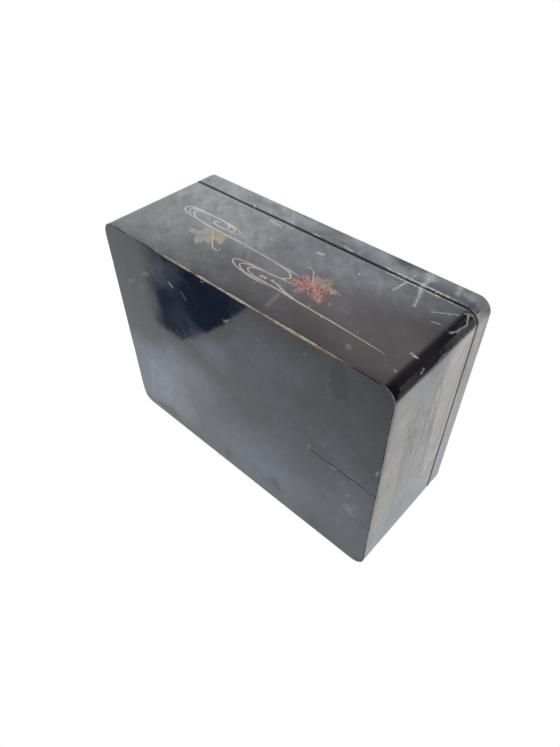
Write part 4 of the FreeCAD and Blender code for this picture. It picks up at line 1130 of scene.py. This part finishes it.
def gold_paint(name, gold, tarnish, metal, worn_away, red=None, dusty=None, netted=0.0, dull=0.42):
    """Dusted gold: grains of two tones, tarnish in patches and bare lacquer where it is rubbed away. A red
    leaf is red below a slanting line and gold above it. Dusty gives where along x the dust starts and where
    it is full, then its strength and its colour."""
    material, tree, shader, place = new_paint(name)
    apart = parts(tree, place)
    patches = ramp(tree, noise(tree, place, 0.14, 5.0, 0.65), 0.38, 0.64)
    grains = ramp(tree, noise(tree, place, 3.2, 2.0, 0.6), 0.38, 0.62)
    colour = blend(tree, patches, gold, tarnish)
    colour = blend(tree, times(tree, grains, 0.35), colour, tarnish)
    stirred = put(tree, "ShaderNodeTexNoise", place)
    stirred.inputs["Scale"].default_value = 0.5
    moved = vector(tree, "ADD", place, vector(tree, "MULTIPLY", stirred.outputs["Color"], (3, 3, 3)))
    cells = put(tree, "ShaderNodeTexVoronoi", moved, feature="DISTANCE_TO_EDGE")
    cells.inputs["Scale"].default_value = 0.42
    net = ramp(tree, cells.outputs["Distance"], 0.15, 0.05)
    if netted:
        colour = blend(tree, times(tree, less(tree, 1.0, net), netted), colour, tarnish)
    if red:
        slant = plus(tree, apart[2], times(tree, apart[0], -0.03))
        frayed = plus(tree, slant, times(tree, noise(tree, place, 0.5, 4.0), 3.0))
        frayed = less(tree, frayed, ramp(tree, apart[0], 28.5, 30.5, 3.5, 0.0))
        colour = blend(tree, ramp(tree, frayed, 42.6, 41.0), colour, blend(tree, net, red, VEIN_PINK))
    if dusty:
        start, full, strength, dust = dusty
        colour = blend(tree, ramp(tree, apart[0], start, full, 0.0, strength), colour, dust)
    rubbed = ramp(tree, noise(tree, place, 0.55, 6.0, 0.7), 0.50, 0.72, 0.0, worn_away)
    colour = blend(tree, rubbed, colour, BROWN_BLACK)
    shader.inputs["Metallic"].default_value = metal
    coat(tree, shader, colour, ramp(tree, grains, 0.0, 1.0, dull, dull + 0.18), grains, 0.4, 0.05)
    return material


OLD_GOLD = (0.76, 0.63, 0.48, 1)
GOLD_TARNISH = (0.58, 0.48, 0.37, 1)
GOLD_DUST = (0.80, 0.76, 0.70, 1)
PALE_GOLD = (0.72, 0.55, 0.33, 1)
PALE_TARNISH = (0.40, 0.31, 0.22, 1)
DUST_GREY = (0.40, 0.395, 0.375, 1)
LOBE_GOLD = (0.56, 0.46, 0.31, 1)
LOBE_TARNISH = (0.22, 0.18, 0.13, 1)
LEAF_RED = (0.22, 0.075, 0.068, 1)
VEIN_PINK = (0.62, 0.31, 0.27, 1)
VEIN_PALE = (0.84, 0.56, 0.48, 1)
END_GOLD = (0.27, 0.215, 0.17, 1)
END_TARNISH = (0.22, 0.18, 0.145, 1)
LINE_GOLD = gold_paint(
    "stream gold", OLD_GOLD, GOLD_TARNISH, 0.15, 0.25, dusty=(-5.0, -60.0, 0.8, GOLD_DUST),
)
LEAF_GOLD = gold_paint(
    "leaf gold", PALE_GOLD, PALE_TARNISH, 0.1, 0.4, dusty=(-44.0, -55.0, 0.85, DUST_GREY), netted=0.6,
)
RED_AND_GOLD = gold_paint("red leaf", LOBE_GOLD, LOBE_TARNISH, 0.1, 0.3, LEAF_RED, netted=0.7)
VEIN_GOLD = gold_paint("vein gold", VEIN_PALE, VEIN_PINK, 0.1, 0.2)
DULL_GOLD = gold_paint("dull gold", END_GOLD, END_TARNISH, 0.1, 0.3, dull=0.24)
END_STREAM = [
    ([(-33, 50.8), (-37, 51.2), (-41, 50.6), (-42.6, 49.2), (-40.5, 47.8), (-35, 47), (-28, 47.3),
      (-24, 48.6), (-25, 50.6), (-30, 52.2), (-37, 53)], 0.8),
    ([(-30, 53.6), (-20, 53.4), (-12, 52.2), (-9, 50.3), (-12, 48.2), (-20, 46.6), (-30, 45.8)], 0.7),
    ([(-34, 54.8), (-18, 54.6), (-8, 53), (-3, 50.6), (-4.5, 48), (-12, 45.8), (-22, 44.6)], 0.7),
    ([(-28, 54.6), (-40, 54.4), (-50, 53.4), (-56.5, 51.4), (-57.4, 49.2), (-53, 47), (-45, 45.4),
      (-34, 44.6), (-20, 43.6), (-4, 41.6), (12, 40.4), (26, 39.6), (33, 37.8), (35.5, 35.4), (32, 32.8),
      (24, 31.4), (12, 31.2), (0, 32.2), (-10, 33.4), (-15.6, 32.2), (-15, 29.8), (-8, 28), (4, 27),
      (20, 26.4), (40, 25.6), (62, 24)], 0.8),
    ([(-46, 54.2), (-55, 52.6), (-61, 50.6), (-61.5, 48.6), (-57, 46.6), (-50, 45)], 0.7),
    ([(-2, 33.6), (-14, 34.6), (-21, 32.6), (-20.6, 30), (-14, 27.6), (-4, 26.4)], 0.7),
]
END_LEAF_AT = (-36.0, 32.5)
END_BUD_AT = (30.0, 52.5)
# a turn of about 145 degrees
LEAF_TURN = np.array([[-0.82, 0.57], [-0.57, -0.82]])


def turned_leaf(points, centre, to, size):
    """A leaf's points turned about its centre, scaled and moved to another place."""
    return ((np.asarray(points, float) - centre) @ LEAF_TURN.T * size + to).tolist()


end_edge = turned_leaf(RED_LEAF + RED_LEAF[:1], RED_CENTRE, END_LEAF_AT, 0.95)
end_stem = turned_leaf(RED_STEM, RED_CENTRE, END_LEAF_AT, 0.95)
end_bud = turned_leaf(PALE_LEAF + PALE_LEAF[:1], PALE_CENTRE, END_BUD_AT, 0.62)
front_lines = [drawn_line(points, width, LINE_RISE, *ends) for points, width, *ends in FRONT_STREAM]
end_lines = [drawn_line(points, width, LINE_RISE) for points, width in END_STREAM]
pale_veins = vein_lines(PALE_CENTRE, PALE_TIPS, 0.30, 0.075)
red_veins = vein_lines(RED_CENTRE, RED_TIPS, 0.46, 0.08)
GOLD_PIECES = {
    "front_stream": ("front", LINE_GOLD, front_lines),
    "front_pale_leaf": ("front", LEAF_GOLD, [leaf_shape(PALE_CENTRE, PALE_LEAF, LEAF_RISE)]),
    "front_pale_veins": ("front", LINE_GOLD, pale_veins + [drawn_line(PALE_STEM, 0.9, STEM_RISE, 3.0)]),
    "front_red_leaf": ("front", RED_AND_GOLD, [leaf_shape(RED_CENTRE, RED_LEAF, LEAF_RISE)]),
    "front_red_veins": ("front", VEIN_GOLD, red_veins),
    "front_red_stem": ("front", LINE_GOLD, [drawn_line(RED_STEM, 0.85, STEM_RISE, 3.0)]),
    "right_stream": ("right", DULL_GOLD, end_lines),
    "right_leaf": ("right", DULL_GOLD, [
        drawn_line(end_edge, 0.4, LINE_RISE, 2.0), drawn_line(end_stem, 0.7, STEM_RISE, 3.0)]),
    "right_small_leaf": ("right", DULL_GOLD, [drawn_line(end_bud, 0.4, LINE_RISE, 2.0)]),
}
for name, (side, material, shapes) in GOLD_PIECES.items():
    piece = laid_on(name, side, shapes)
    piece.data.materials.append(material)
    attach(piece, "box")


# The rims and bearers: the rims stand inside the walls for the lid to drop over, and the bearers are glued to
# the end walls for the tray to rest on. They and the tray are in a thinner, browner lacquer, rubbed in use.
def surface_material(name, colour_of, roughness, metal=0.0, relief=0.3, reach=0.1):
    """A material whose colour, extra roughness and height come from colour_of(tree, place)."""
    material, tree, shader, place = new_paint(name)
    colour, rougher, height = colour_of(tree, place)
    shader.inputs["Metallic"].default_value = metal
    coat(tree, shader, colour, plus(tree, rougher, roughness), height, relief, reach)
    return material


INNER_BLACK = (0.013, 0.011, 0.010, 1)
INNER_BROWN = (0.045, 0.026, 0.018, 1)
INNER_DUST = (0.30, 0.28, 0.25, 1)


def inner_finish(tree, place):
    """Brown-black lacquer: brush marks along the length, clouds of dust, hairlines and crumbs."""
    brushed = noise(tree, place, (0.03, 0.22, 0.22), 4.0, 0.6)
    colour = blend(tree, ramp(tree, brushed, 0.35, 0.65), INNER_BLACK, INNER_BROWN)
    cloud = use(tree, BLOOM, place, Scale=0.03, Start=0.44, Full=0.72)
    colour = blend(tree, times(tree, cloud, 0.22), colour, INNER_DUST)
    lines = use(
        tree, SCRATCHES, place, Turn=(0.9, 0.2, 0.6), Stretch=(0.06, 0.5, 0.4), Width=0.006, Share=0.4,
    )
    colour = blend(tree, times(tree, lines, 0.3), colour, INNER_DUST)
    crumbs = use(tree, SPECKS, place, Density=0.25, Size=0.06, Share=0.2)
    colour = blend(tree, times(tree, crumbs, 0.7), colour, INNER_DUST)
    return colour, times(tree, cloud, 0.25), brushed


INNER_LACQUER = surface_material("inner lacquer", inner_finish, 0.2)


def dress(nodes, material):
    """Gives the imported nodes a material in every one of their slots."""
    for node in nodes:
        for slot in bpy.data.objects[node].material_slots:
            slot.material = material


dress(["front_rim", "rear_rim", "left_rim", "right_rim", "left_bearer", "right_bearer"], INNER_LACQUER)


# The tray: a thin floor in four walls, the end ones notched for the fingers. It lifts out whole. Thin
# strips part its beds, and two notched rests carry the brushes.
dress(["tray_floor", "tray_front_wall", "tray_rear_wall", "tray_left_wall", "tray_right_wall"], INNER_LACQUER)
dress(["long_divider", "cross_divider", "stick_divider", "dropper_divider"], INNER_LACQUER)
dress(["left_brush_rest", "right_brush_rest"], INNER_LACQUER)


# The inkstone: a block of dark slate, ground on its broad land. The land runs down into the well, where ink
# has dried. Its edges are softened by use and chipped. It lies loose in its bed.
stone_low, stone_high = corners_of("inkstone")
STONE_BORDER = 7.0
LAND_DEPTH = 2.5
WELL_DEPTH = 10.5
WELL_LENGTH = 12.0
SLOPE_LENGTH = 22.0
STONE_CORNER = 3.0
STONE_ARRIS = 0.9
# the middle and the half lengths of the dish that grinding leaves, and its depth
DISH_X, DISH_LONG, DISH_WIDE = 18, 38, 26
DISH_DEPTH = 0.5
LIP_WORN = 0.25


def plan_of(low, high, corner):
    """The plan of a block, as half its length, half its depth and its corners' radius, and its middle."""
    middle = ((low.x + high.x) / 2, (low.y + high.y) / 2)
    return ((high.x - low.x) / 2, (high.y - low.y) / 2, corner), middle


STONE_PLAN, stone_middle = plan_of(stone_low, stone_high, STONE_CORNER)


def smooth_step(value, start, end):
    """From 0 at start to 1 at end, along three times the square less twice the cube of the share between."""
    share = np.clip((value - start) / (end - start), 0, 1)
    return share * share * (3 - 2 * share)


def stone_relief(x, y):
    """The hollow of the stone, as deep as the land or the well, and coming up to the border in a
    millimetre and a half, with a bell pressed into the border beside it. The slope between them is a smooth
    step, and the dish is one less two squares."""
    inside = outline_inset(x, y, STONE_PLAN) - STONE_BORDER
    well_end = -STONE_PLAN[0] + STONE_BORDER + WELL_LENGTH
    slope = 1 - smooth_step(x, well_end, well_end + SLOPE_LENGTH)
    dished = DISH_DEPTH * np.clip(1 - ((x - DISH_X) / DISH_LONG) ** 2 - (y / DISH_WIDE) ** 2, 0, 1)
    depth = LAND_DEPTH + (WELL_DEPTH - LAND_DEPTH) * slope + dished
    edge = smooth_step(inside, -0.3, 1.5)
    lip = LIP_WORN * np.exp(-((inside + 1.2) / 0.8) ** 2)
    return np.zeros(x.shape), depth * edge + lip


STONE_CHIPS = scattered_chips(41, 26, 0.8, 3.4, 0.8, STONE_PLAN)
stone_rows = np.linspace(-STONE_PLAN[1] + 1.5, STONE_PLAN[1] - 1.5, 110)
inkstone = board_surface(
    "inkstone_ground", stone_high.z, stone_low.z, STONE_ARRIS, STONE_CHIPS, stone_relief, stone_rows,
    STONE_PLAN, stone_middle, 230,
)
SLATE = (0.050, 0.054, 0.060, 1)
SLATE_LIGHT = (0.11, 0.115, 0.12, 1)
DRIED_INK = (0.007, 0.007, 0.008, 1)


def slate_finish(tree, place):
    """Slate: cloudy beds, pale grit, and dried ink that darkens the well and fades out up the slope."""
    beds = noise(tree, place, (0.05, 0.05, 0.3), 5.0, 0.6)
    grit = noise(tree, place, 2.2, 3.0, 0.7)
    colour = blend(tree, ramp(tree, beds, 0.35, 0.7), SLATE, SLATE_LIGHT)
    colour = blend(tree, ramp(tree, grit, 0.55, 0.75, 0.0, 0.25), colour, INNER_DUST)
    level = plus(tree, parts(tree, place)[2], times(tree, noise(tree, place, 0.2, 5.0, 0.65), 4.0))
    ink = ramp(tree, level, stone_high.z - LAND_DEPTH + 1.4, stone_high.z - WELL_DEPTH + 3.4)
    colour = blend(tree, ink, colour, DRIED_INK)
    return colour, times(tree, ink, -0.3), grit


inkstone.data.materials.append(surface_material("slate", slate_finish, 0.58, relief=0.35))
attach(inkstone, "inkstone")
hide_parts("inkstone")


# The ink stick: soot and glue pressed in a mould, with a raised border round a sunk panel. One end is ground
# away at a slant from use. It lies loose in its bed.
stick_low, stick_high = corners_of("ink_stick")
STICK_CORNER = 2.0
STICK_ARRIS = 0.8
STICK_PLAN, stick_middle = plan_of(stick_low, stick_high, STICK_CORNER)
PANEL_BORDER = 1.8
PANEL_DEPTH = 0.5
WORN_LENGTH = 7.0
WORN_DEPTH = 2.4


def stick_relief(x, y):
    """The sunk panel, with a low ridge along its middle, and the ground end, which falls away as the power
    1.6 of the share of its length."""
    inside = outline_inset(x, y, STICK_PLAN) - PANEL_BORDER
    panel = PANEL_DEPTH * smooth_step(inside, 0, 0.7)
    ridge = -0.3 * np.exp(-(y / 1.6) ** 2) * smooth_step(inside, 1.0, 3.0)
    ground = WORN_DEPTH * np.clip((x - STICK_PLAN[0] + WORN_LENGTH) / WORN_LENGTH, 0, 1) ** 1.6
    worn = smooth_step(x, STICK_PLAN[0] - WORN_LENGTH - 3, STICK_PLAN[0] - WORN_LENGTH)
    return np.zeros(x.shape), (panel + ridge) * (1 - worn) + ground


STICK_CHIPS = scattered_chips(5, 9, 0.6, 1.8, 0.4, STICK_PLAN)
stick_rows = np.linspace(-STICK_PLAN[1] + 0.8, STICK_PLAN[1] - 0.8, 30)
ink_stick = board_surface(
    "ink_stick_pressed", stick_high.z, stick_low.z, STICK_ARRIS, STICK_CHIPS, stick_relief, stick_rows,
    STICK_PLAN, stick_middle, 120,
)
INK = (0.012, 0.0115, 0.013, 1)
INK_GREY = (0.06, 0.058, 0.062, 1)


def ink_finish(tree, place):
    """Pressed ink: close to black, with greyer rubbed patches and a fine crazing."""
    patches = noise(tree, place, 0.18, 5.0, 0.6)
    colour = blend(tree, ramp(tree, patches, 0.45, 0.75), INK, INK_GREY)
    fine = noise(tree, place, 1.6, 3.0, 0.6)
    return colour, ramp(tree, patches, 0.4, 0.7, 0.0, 0.3), fine


ink_stick.data.materials.append(surface_material("pressed ink", ink_finish, 0.3))
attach(ink_stick, "ink_stick")
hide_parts("ink_stick")


# The water dropper: a flat copper bottle, soldered from sheet, with a small spout and an air hole in its top.
# It has gone brown, with a little green where water stood.
COPPER = (0.62, 0.30, 0.19, 1)
COPPER_BROWN = (0.20, 0.095, 0.06, 1)
VERDIGRIS = (0.16, 0.30, 0.25, 1)


def copper_finish(tree, place):
    """Old copper: brown patches over bright metal, green round some of them, and a planished surface."""
    patches = noise(tree, place, 0.09, 6.0, 0.62)
    colour = blend(tree, ramp(tree, patches, 0.36, 0.60), COPPER, COPPER_BROWN)
    green = ramp(tree, noise(tree, place, 0.22, 6.0, 0.7), 0.60, 0.72, 0.0, 0.7)
    colour = blend(tree, green, colour, VERDIGRIS)
    dents = put(tree, "ShaderNodeTexVoronoi", place, feature="SMOOTH_F1")
    dents.inputs["Scale"].default_value = 0.35
    return colour, ramp(tree, patches, 0.35, 0.65, 0.0, 0.3), dents.outputs["Distance"]


OLD_COPPER = surface_material("old copper", copper_finish, 0.28, metal=0.85, relief=0.5, reach=0.25)
dress(["dropper_vessel", "dropper_top"], OLD_COPPER)


# The brushes: bamboo handles with their nodes left proud, a horn ring that holds the hair, and hair gathered
# to a point and still dark with ink at its tip. They lie in the notches of the rests.
def turned_piece(name, profile, place_y, place_z, sides=48, flutes=0, flute_depth=0.0, seed=0):
    """A surface turned about a line along X: rings of radius given by the profile of (x, radius), joined by
    straight runs. Flutes press its skin in by up to their depth, as the mean of six cosines round it."""
    rings = np.asarray(profile, float)
    angle = np.linspace(0, 2 * math.pi, sides, endpoint=False)[None, :]
    radius = rings[:, 1:] * np.ones_like(angle)
    if flutes:
        dice = np.random.default_rng(seed)
        turns = dice.integers(flutes // 2, flutes * 2, 6)[:, None, None]
        phase = dice.random(6)[:, None, None] * 2 * math.pi
        twist = dice.normal(0, 0.02, 6)[:, None, None]
        waves = np.cos(turns * angle[None] + phase + twist * rings[None, :, :1]).mean(axis=0)
        radius = radius * (1 - flute_depth * (0.5 - 0.5 * waves))
    along = rings[:, :1] + 0 * radius
    points = np.stack([along, place_y + radius * np.cos(angle), place_z + radius * np.sin(angle)], axis=-1)
    faces = tube_faces(len(rings), sides, inside_out=True)
    return mesh_object(name, points, faces, len(faces) - 2, 55)


BAMBOO = (0.50, 0.34, 0.16, 1)
BAMBOO_DARK = (0.27, 0.155, 0.07, 1)
HORN = (0.035, 0.026, 0.022, 1)
HORN_PALE = (0.33, 0.25, 0.17, 1)
HAIR = (0.36, 0.255, 0.155, 1)
HAIR_INKED = (0.022, 0.020, 0.020, 1)
INK_STARTS, INK_FULL = 58.0, 70.0


def bamboo_finish(tree, place):
    """Bamboo: long fine streaks, a few broad ones, and brown from handling."""
    streaks = noise(tree, place, (0.03, 1.8, 1.8), 4.0, 0.6)
    stain = noise(tree, place, (0.05, 0.2, 0.2), 4.0, 0.6)
    colour = blend(tree, ramp(tree, streaks, 0.35, 0.68), BAMBOO, BAMBOO_DARK)
    colour = blend(tree, ramp(tree, stain, 0.5, 0.72, 0.0, 0.7), colour, BAMBOO_DARK)
    return colour, ramp(tree, stain, 0.4, 0.7, 0.0, 0.2), streaks


def horn_finish(tree, place):
    """Horn: black, with pale streaks along it."""
    streaks = noise(tree, place, (0.12, 0.7, 0.7), 5.0, 0.65)
    colour = blend(tree, ramp(tree, streaks, 0.52, 0.72), HORN, HORN_PALE)
    return colour, 0.0, streaks


def hair_finish(tree, place):
    """Hair: fine strands along the tuft, brown at the ring and black with ink towards the tip."""
    strands = noise(tree, place, (0.10, 3.2, 3.2), 3.0, 0.6)
    reached = plus(tree, parts(tree, place)[0], times(tree, strands, 12.0))
    colour = blend(tree, ramp(tree, strands, 0.4, 0.62), HAIR, BAMBOO_DARK)
    return blend(tree, ramp(tree, reached, INK_STARTS, INK_FULL), colour, HAIR_INKED), 0.0, strands


def handle_profile(low, high, nodes):
    """A handle's radius along x. A cosine makes it fullest half way along, each node is a bell with a
    narrower groove beside it, and the first three rings round off its end."""
    full = (high.y - low.y) / 2
    x = np.linspace(low.x, high.x, 180)
    radius = full * (0.915 - 0.03 * np.cos((x - low.x) / (high.x - low.x) * 2 * math.pi))
    for share in nodes:
        off = x - (low.x + share * (high.x - low.x))
        groove = 0.05 * np.exp(-((off - 1.9) / 0.6) ** 2)
        radius = radius + full * (0.055 * np.exp(-(off / 0.9) ** 2) - groove)
    radius = np.minimum(radius, full)
    radius[:3] = radius[3] * np.array([0.72, 0.9, 0.98])
    return np.column_stack([x, radius])


def ring_profile(low, high):
    """A ring's radius along x: half a sine, with a turned groove, as a bell, at a quarter and at three
    quarters of its length, and its ends rounded off."""
    share = np.linspace(0, 1, 40)
    swell = 0.94 + 0.06 * np.sin(share * math.pi)
    for groove in (0.25, 0.75):
        swell = swell - 0.05 * np.exp(-((share - groove) / 0.05) ** 2)
    swell[[0, -1]] = swell[[1, -2]] - 0.05
    return np.column_stack([low.x + share * (high.x - low.x), (high.y - low.y) / 2 * swell])


def tuft_profile(low, high):
    """A tuft's radius along x: it swells as half a sine over its first half, and comes to a point as
    (1 - share^3.2)^0.8."""
    share = np.linspace(0, 1, 70)
    belly = 0.84 + 0.16 * np.sin(np.clip(share / 0.5, 0, 1) * math.pi)
    belly = belly * np.clip(1 - share ** 3.2, 0, 1) ** 0.8
    radius = np.maximum((high.y - low.y) / 2 * belly, 0.12)
    return np.column_stack([low.x + share * (high.x - low.x - 0.1), radius])


BAMBOO_PAINT = surface_material("bamboo", bamboo_finish, 0.38, reach=0.08)
HORN_PAINT = surface_material("horn", horn_finish, 0.22, relief=0.15, reach=0.05)
HAIR_PAINT = surface_material("brush hair", hair_finish, 0.55, relief=0.8, reach=0.15)
NODES_ALONG = {"a": (0.22, 0.55, 0.86), "b": (0.30, 0.72)}
for brush, nodes in NODES_ALONG.items():
    low, high = corners_of(f"brush_handle_{brush}")
    axis_y, axis_z = (low.y + high.y) / 2, (low.z + high.z) / 2
    handle = turned_piece(f"brush_handle_{brush}_bamboo", handle_profile(low, high, nodes), axis_y, axis_z)
    handle.data.materials.append(BAMBOO_PAINT)
    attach(handle, f"brush_{brush}")
    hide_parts(f"brush_handle_{brush}")

    profile = ring_profile(*corners_of(f"brush_ring_{brush}"))
    ring_piece = turned_piece(f"brush_ring_{brush}_horn", profile, axis_y, axis_z)
    ring_piece.data.materials.append(HORN_PAINT)
    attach(ring_piece, f"brush_{brush}")
    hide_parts(f"brush_ring_{brush}")

    profile = tuft_profile(*corners_of(f"brush_tuft_{brush}"))
    tuft = turned_piece(
        f"brush_tuft_{brush}_hair", profile, axis_y, axis_z, sides=120, flutes=16, flute_depth=0.14,
        seed=7 + len(nodes),
    )
    tuft.data.materials.append(HAIR_PAINT)
    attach(tuft, f"brush_{brush}")
    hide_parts(f"brush_tuft_{brush}")


# Lid: a board on four low mitred walls, flush with the box below it and under the same lacquer. It has no
# hinge or catch: it drops over the rims and lifts straight off.
lid_low, lid_high = corners_of("lid_board")
lid_wall_low, lid_wall_high = corners_of("lid_front_wall")
LID_WALL_THICKNESS = 6.7 - GOLD_STANDS
LID_EDGE = 2.2
LID_CHIPS = scattered_chips(23, 50, 0.8, 3.0, 0.45)
for side in SIDES:
    wall = wall_surface(
        f"lid_{side}_wall_worn", side, LID_WALL_THICKNESS, lid_wall_low.z + SEAM_OPENS, lid_wall_high.z,
        LIP, 0, LID_CHIPS,
    )
    wall.data.materials.append(SIDE_LACQUER[side])
    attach(wall, "lid")
    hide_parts(f"lid_{side}_wall")


def lid_relief(x, y):
    """The lid's top: very slightly hollow between its edges."""
    return np.zeros(x.shape), 0.15 * np.clip((outline_inset(x, y) - 4) / 30, 0, 1) ** 2


lid_board = board_surface("lid_board_worn", lid_high.z, lid_low.z, LID_EDGE, [], lid_relief, BOARD_ROWS)
dress_board(lid_board, PLAIN_LACQUER, SIDE_LACQUER, lid_high.z)
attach(lid_board, "lid")
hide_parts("lid_board")
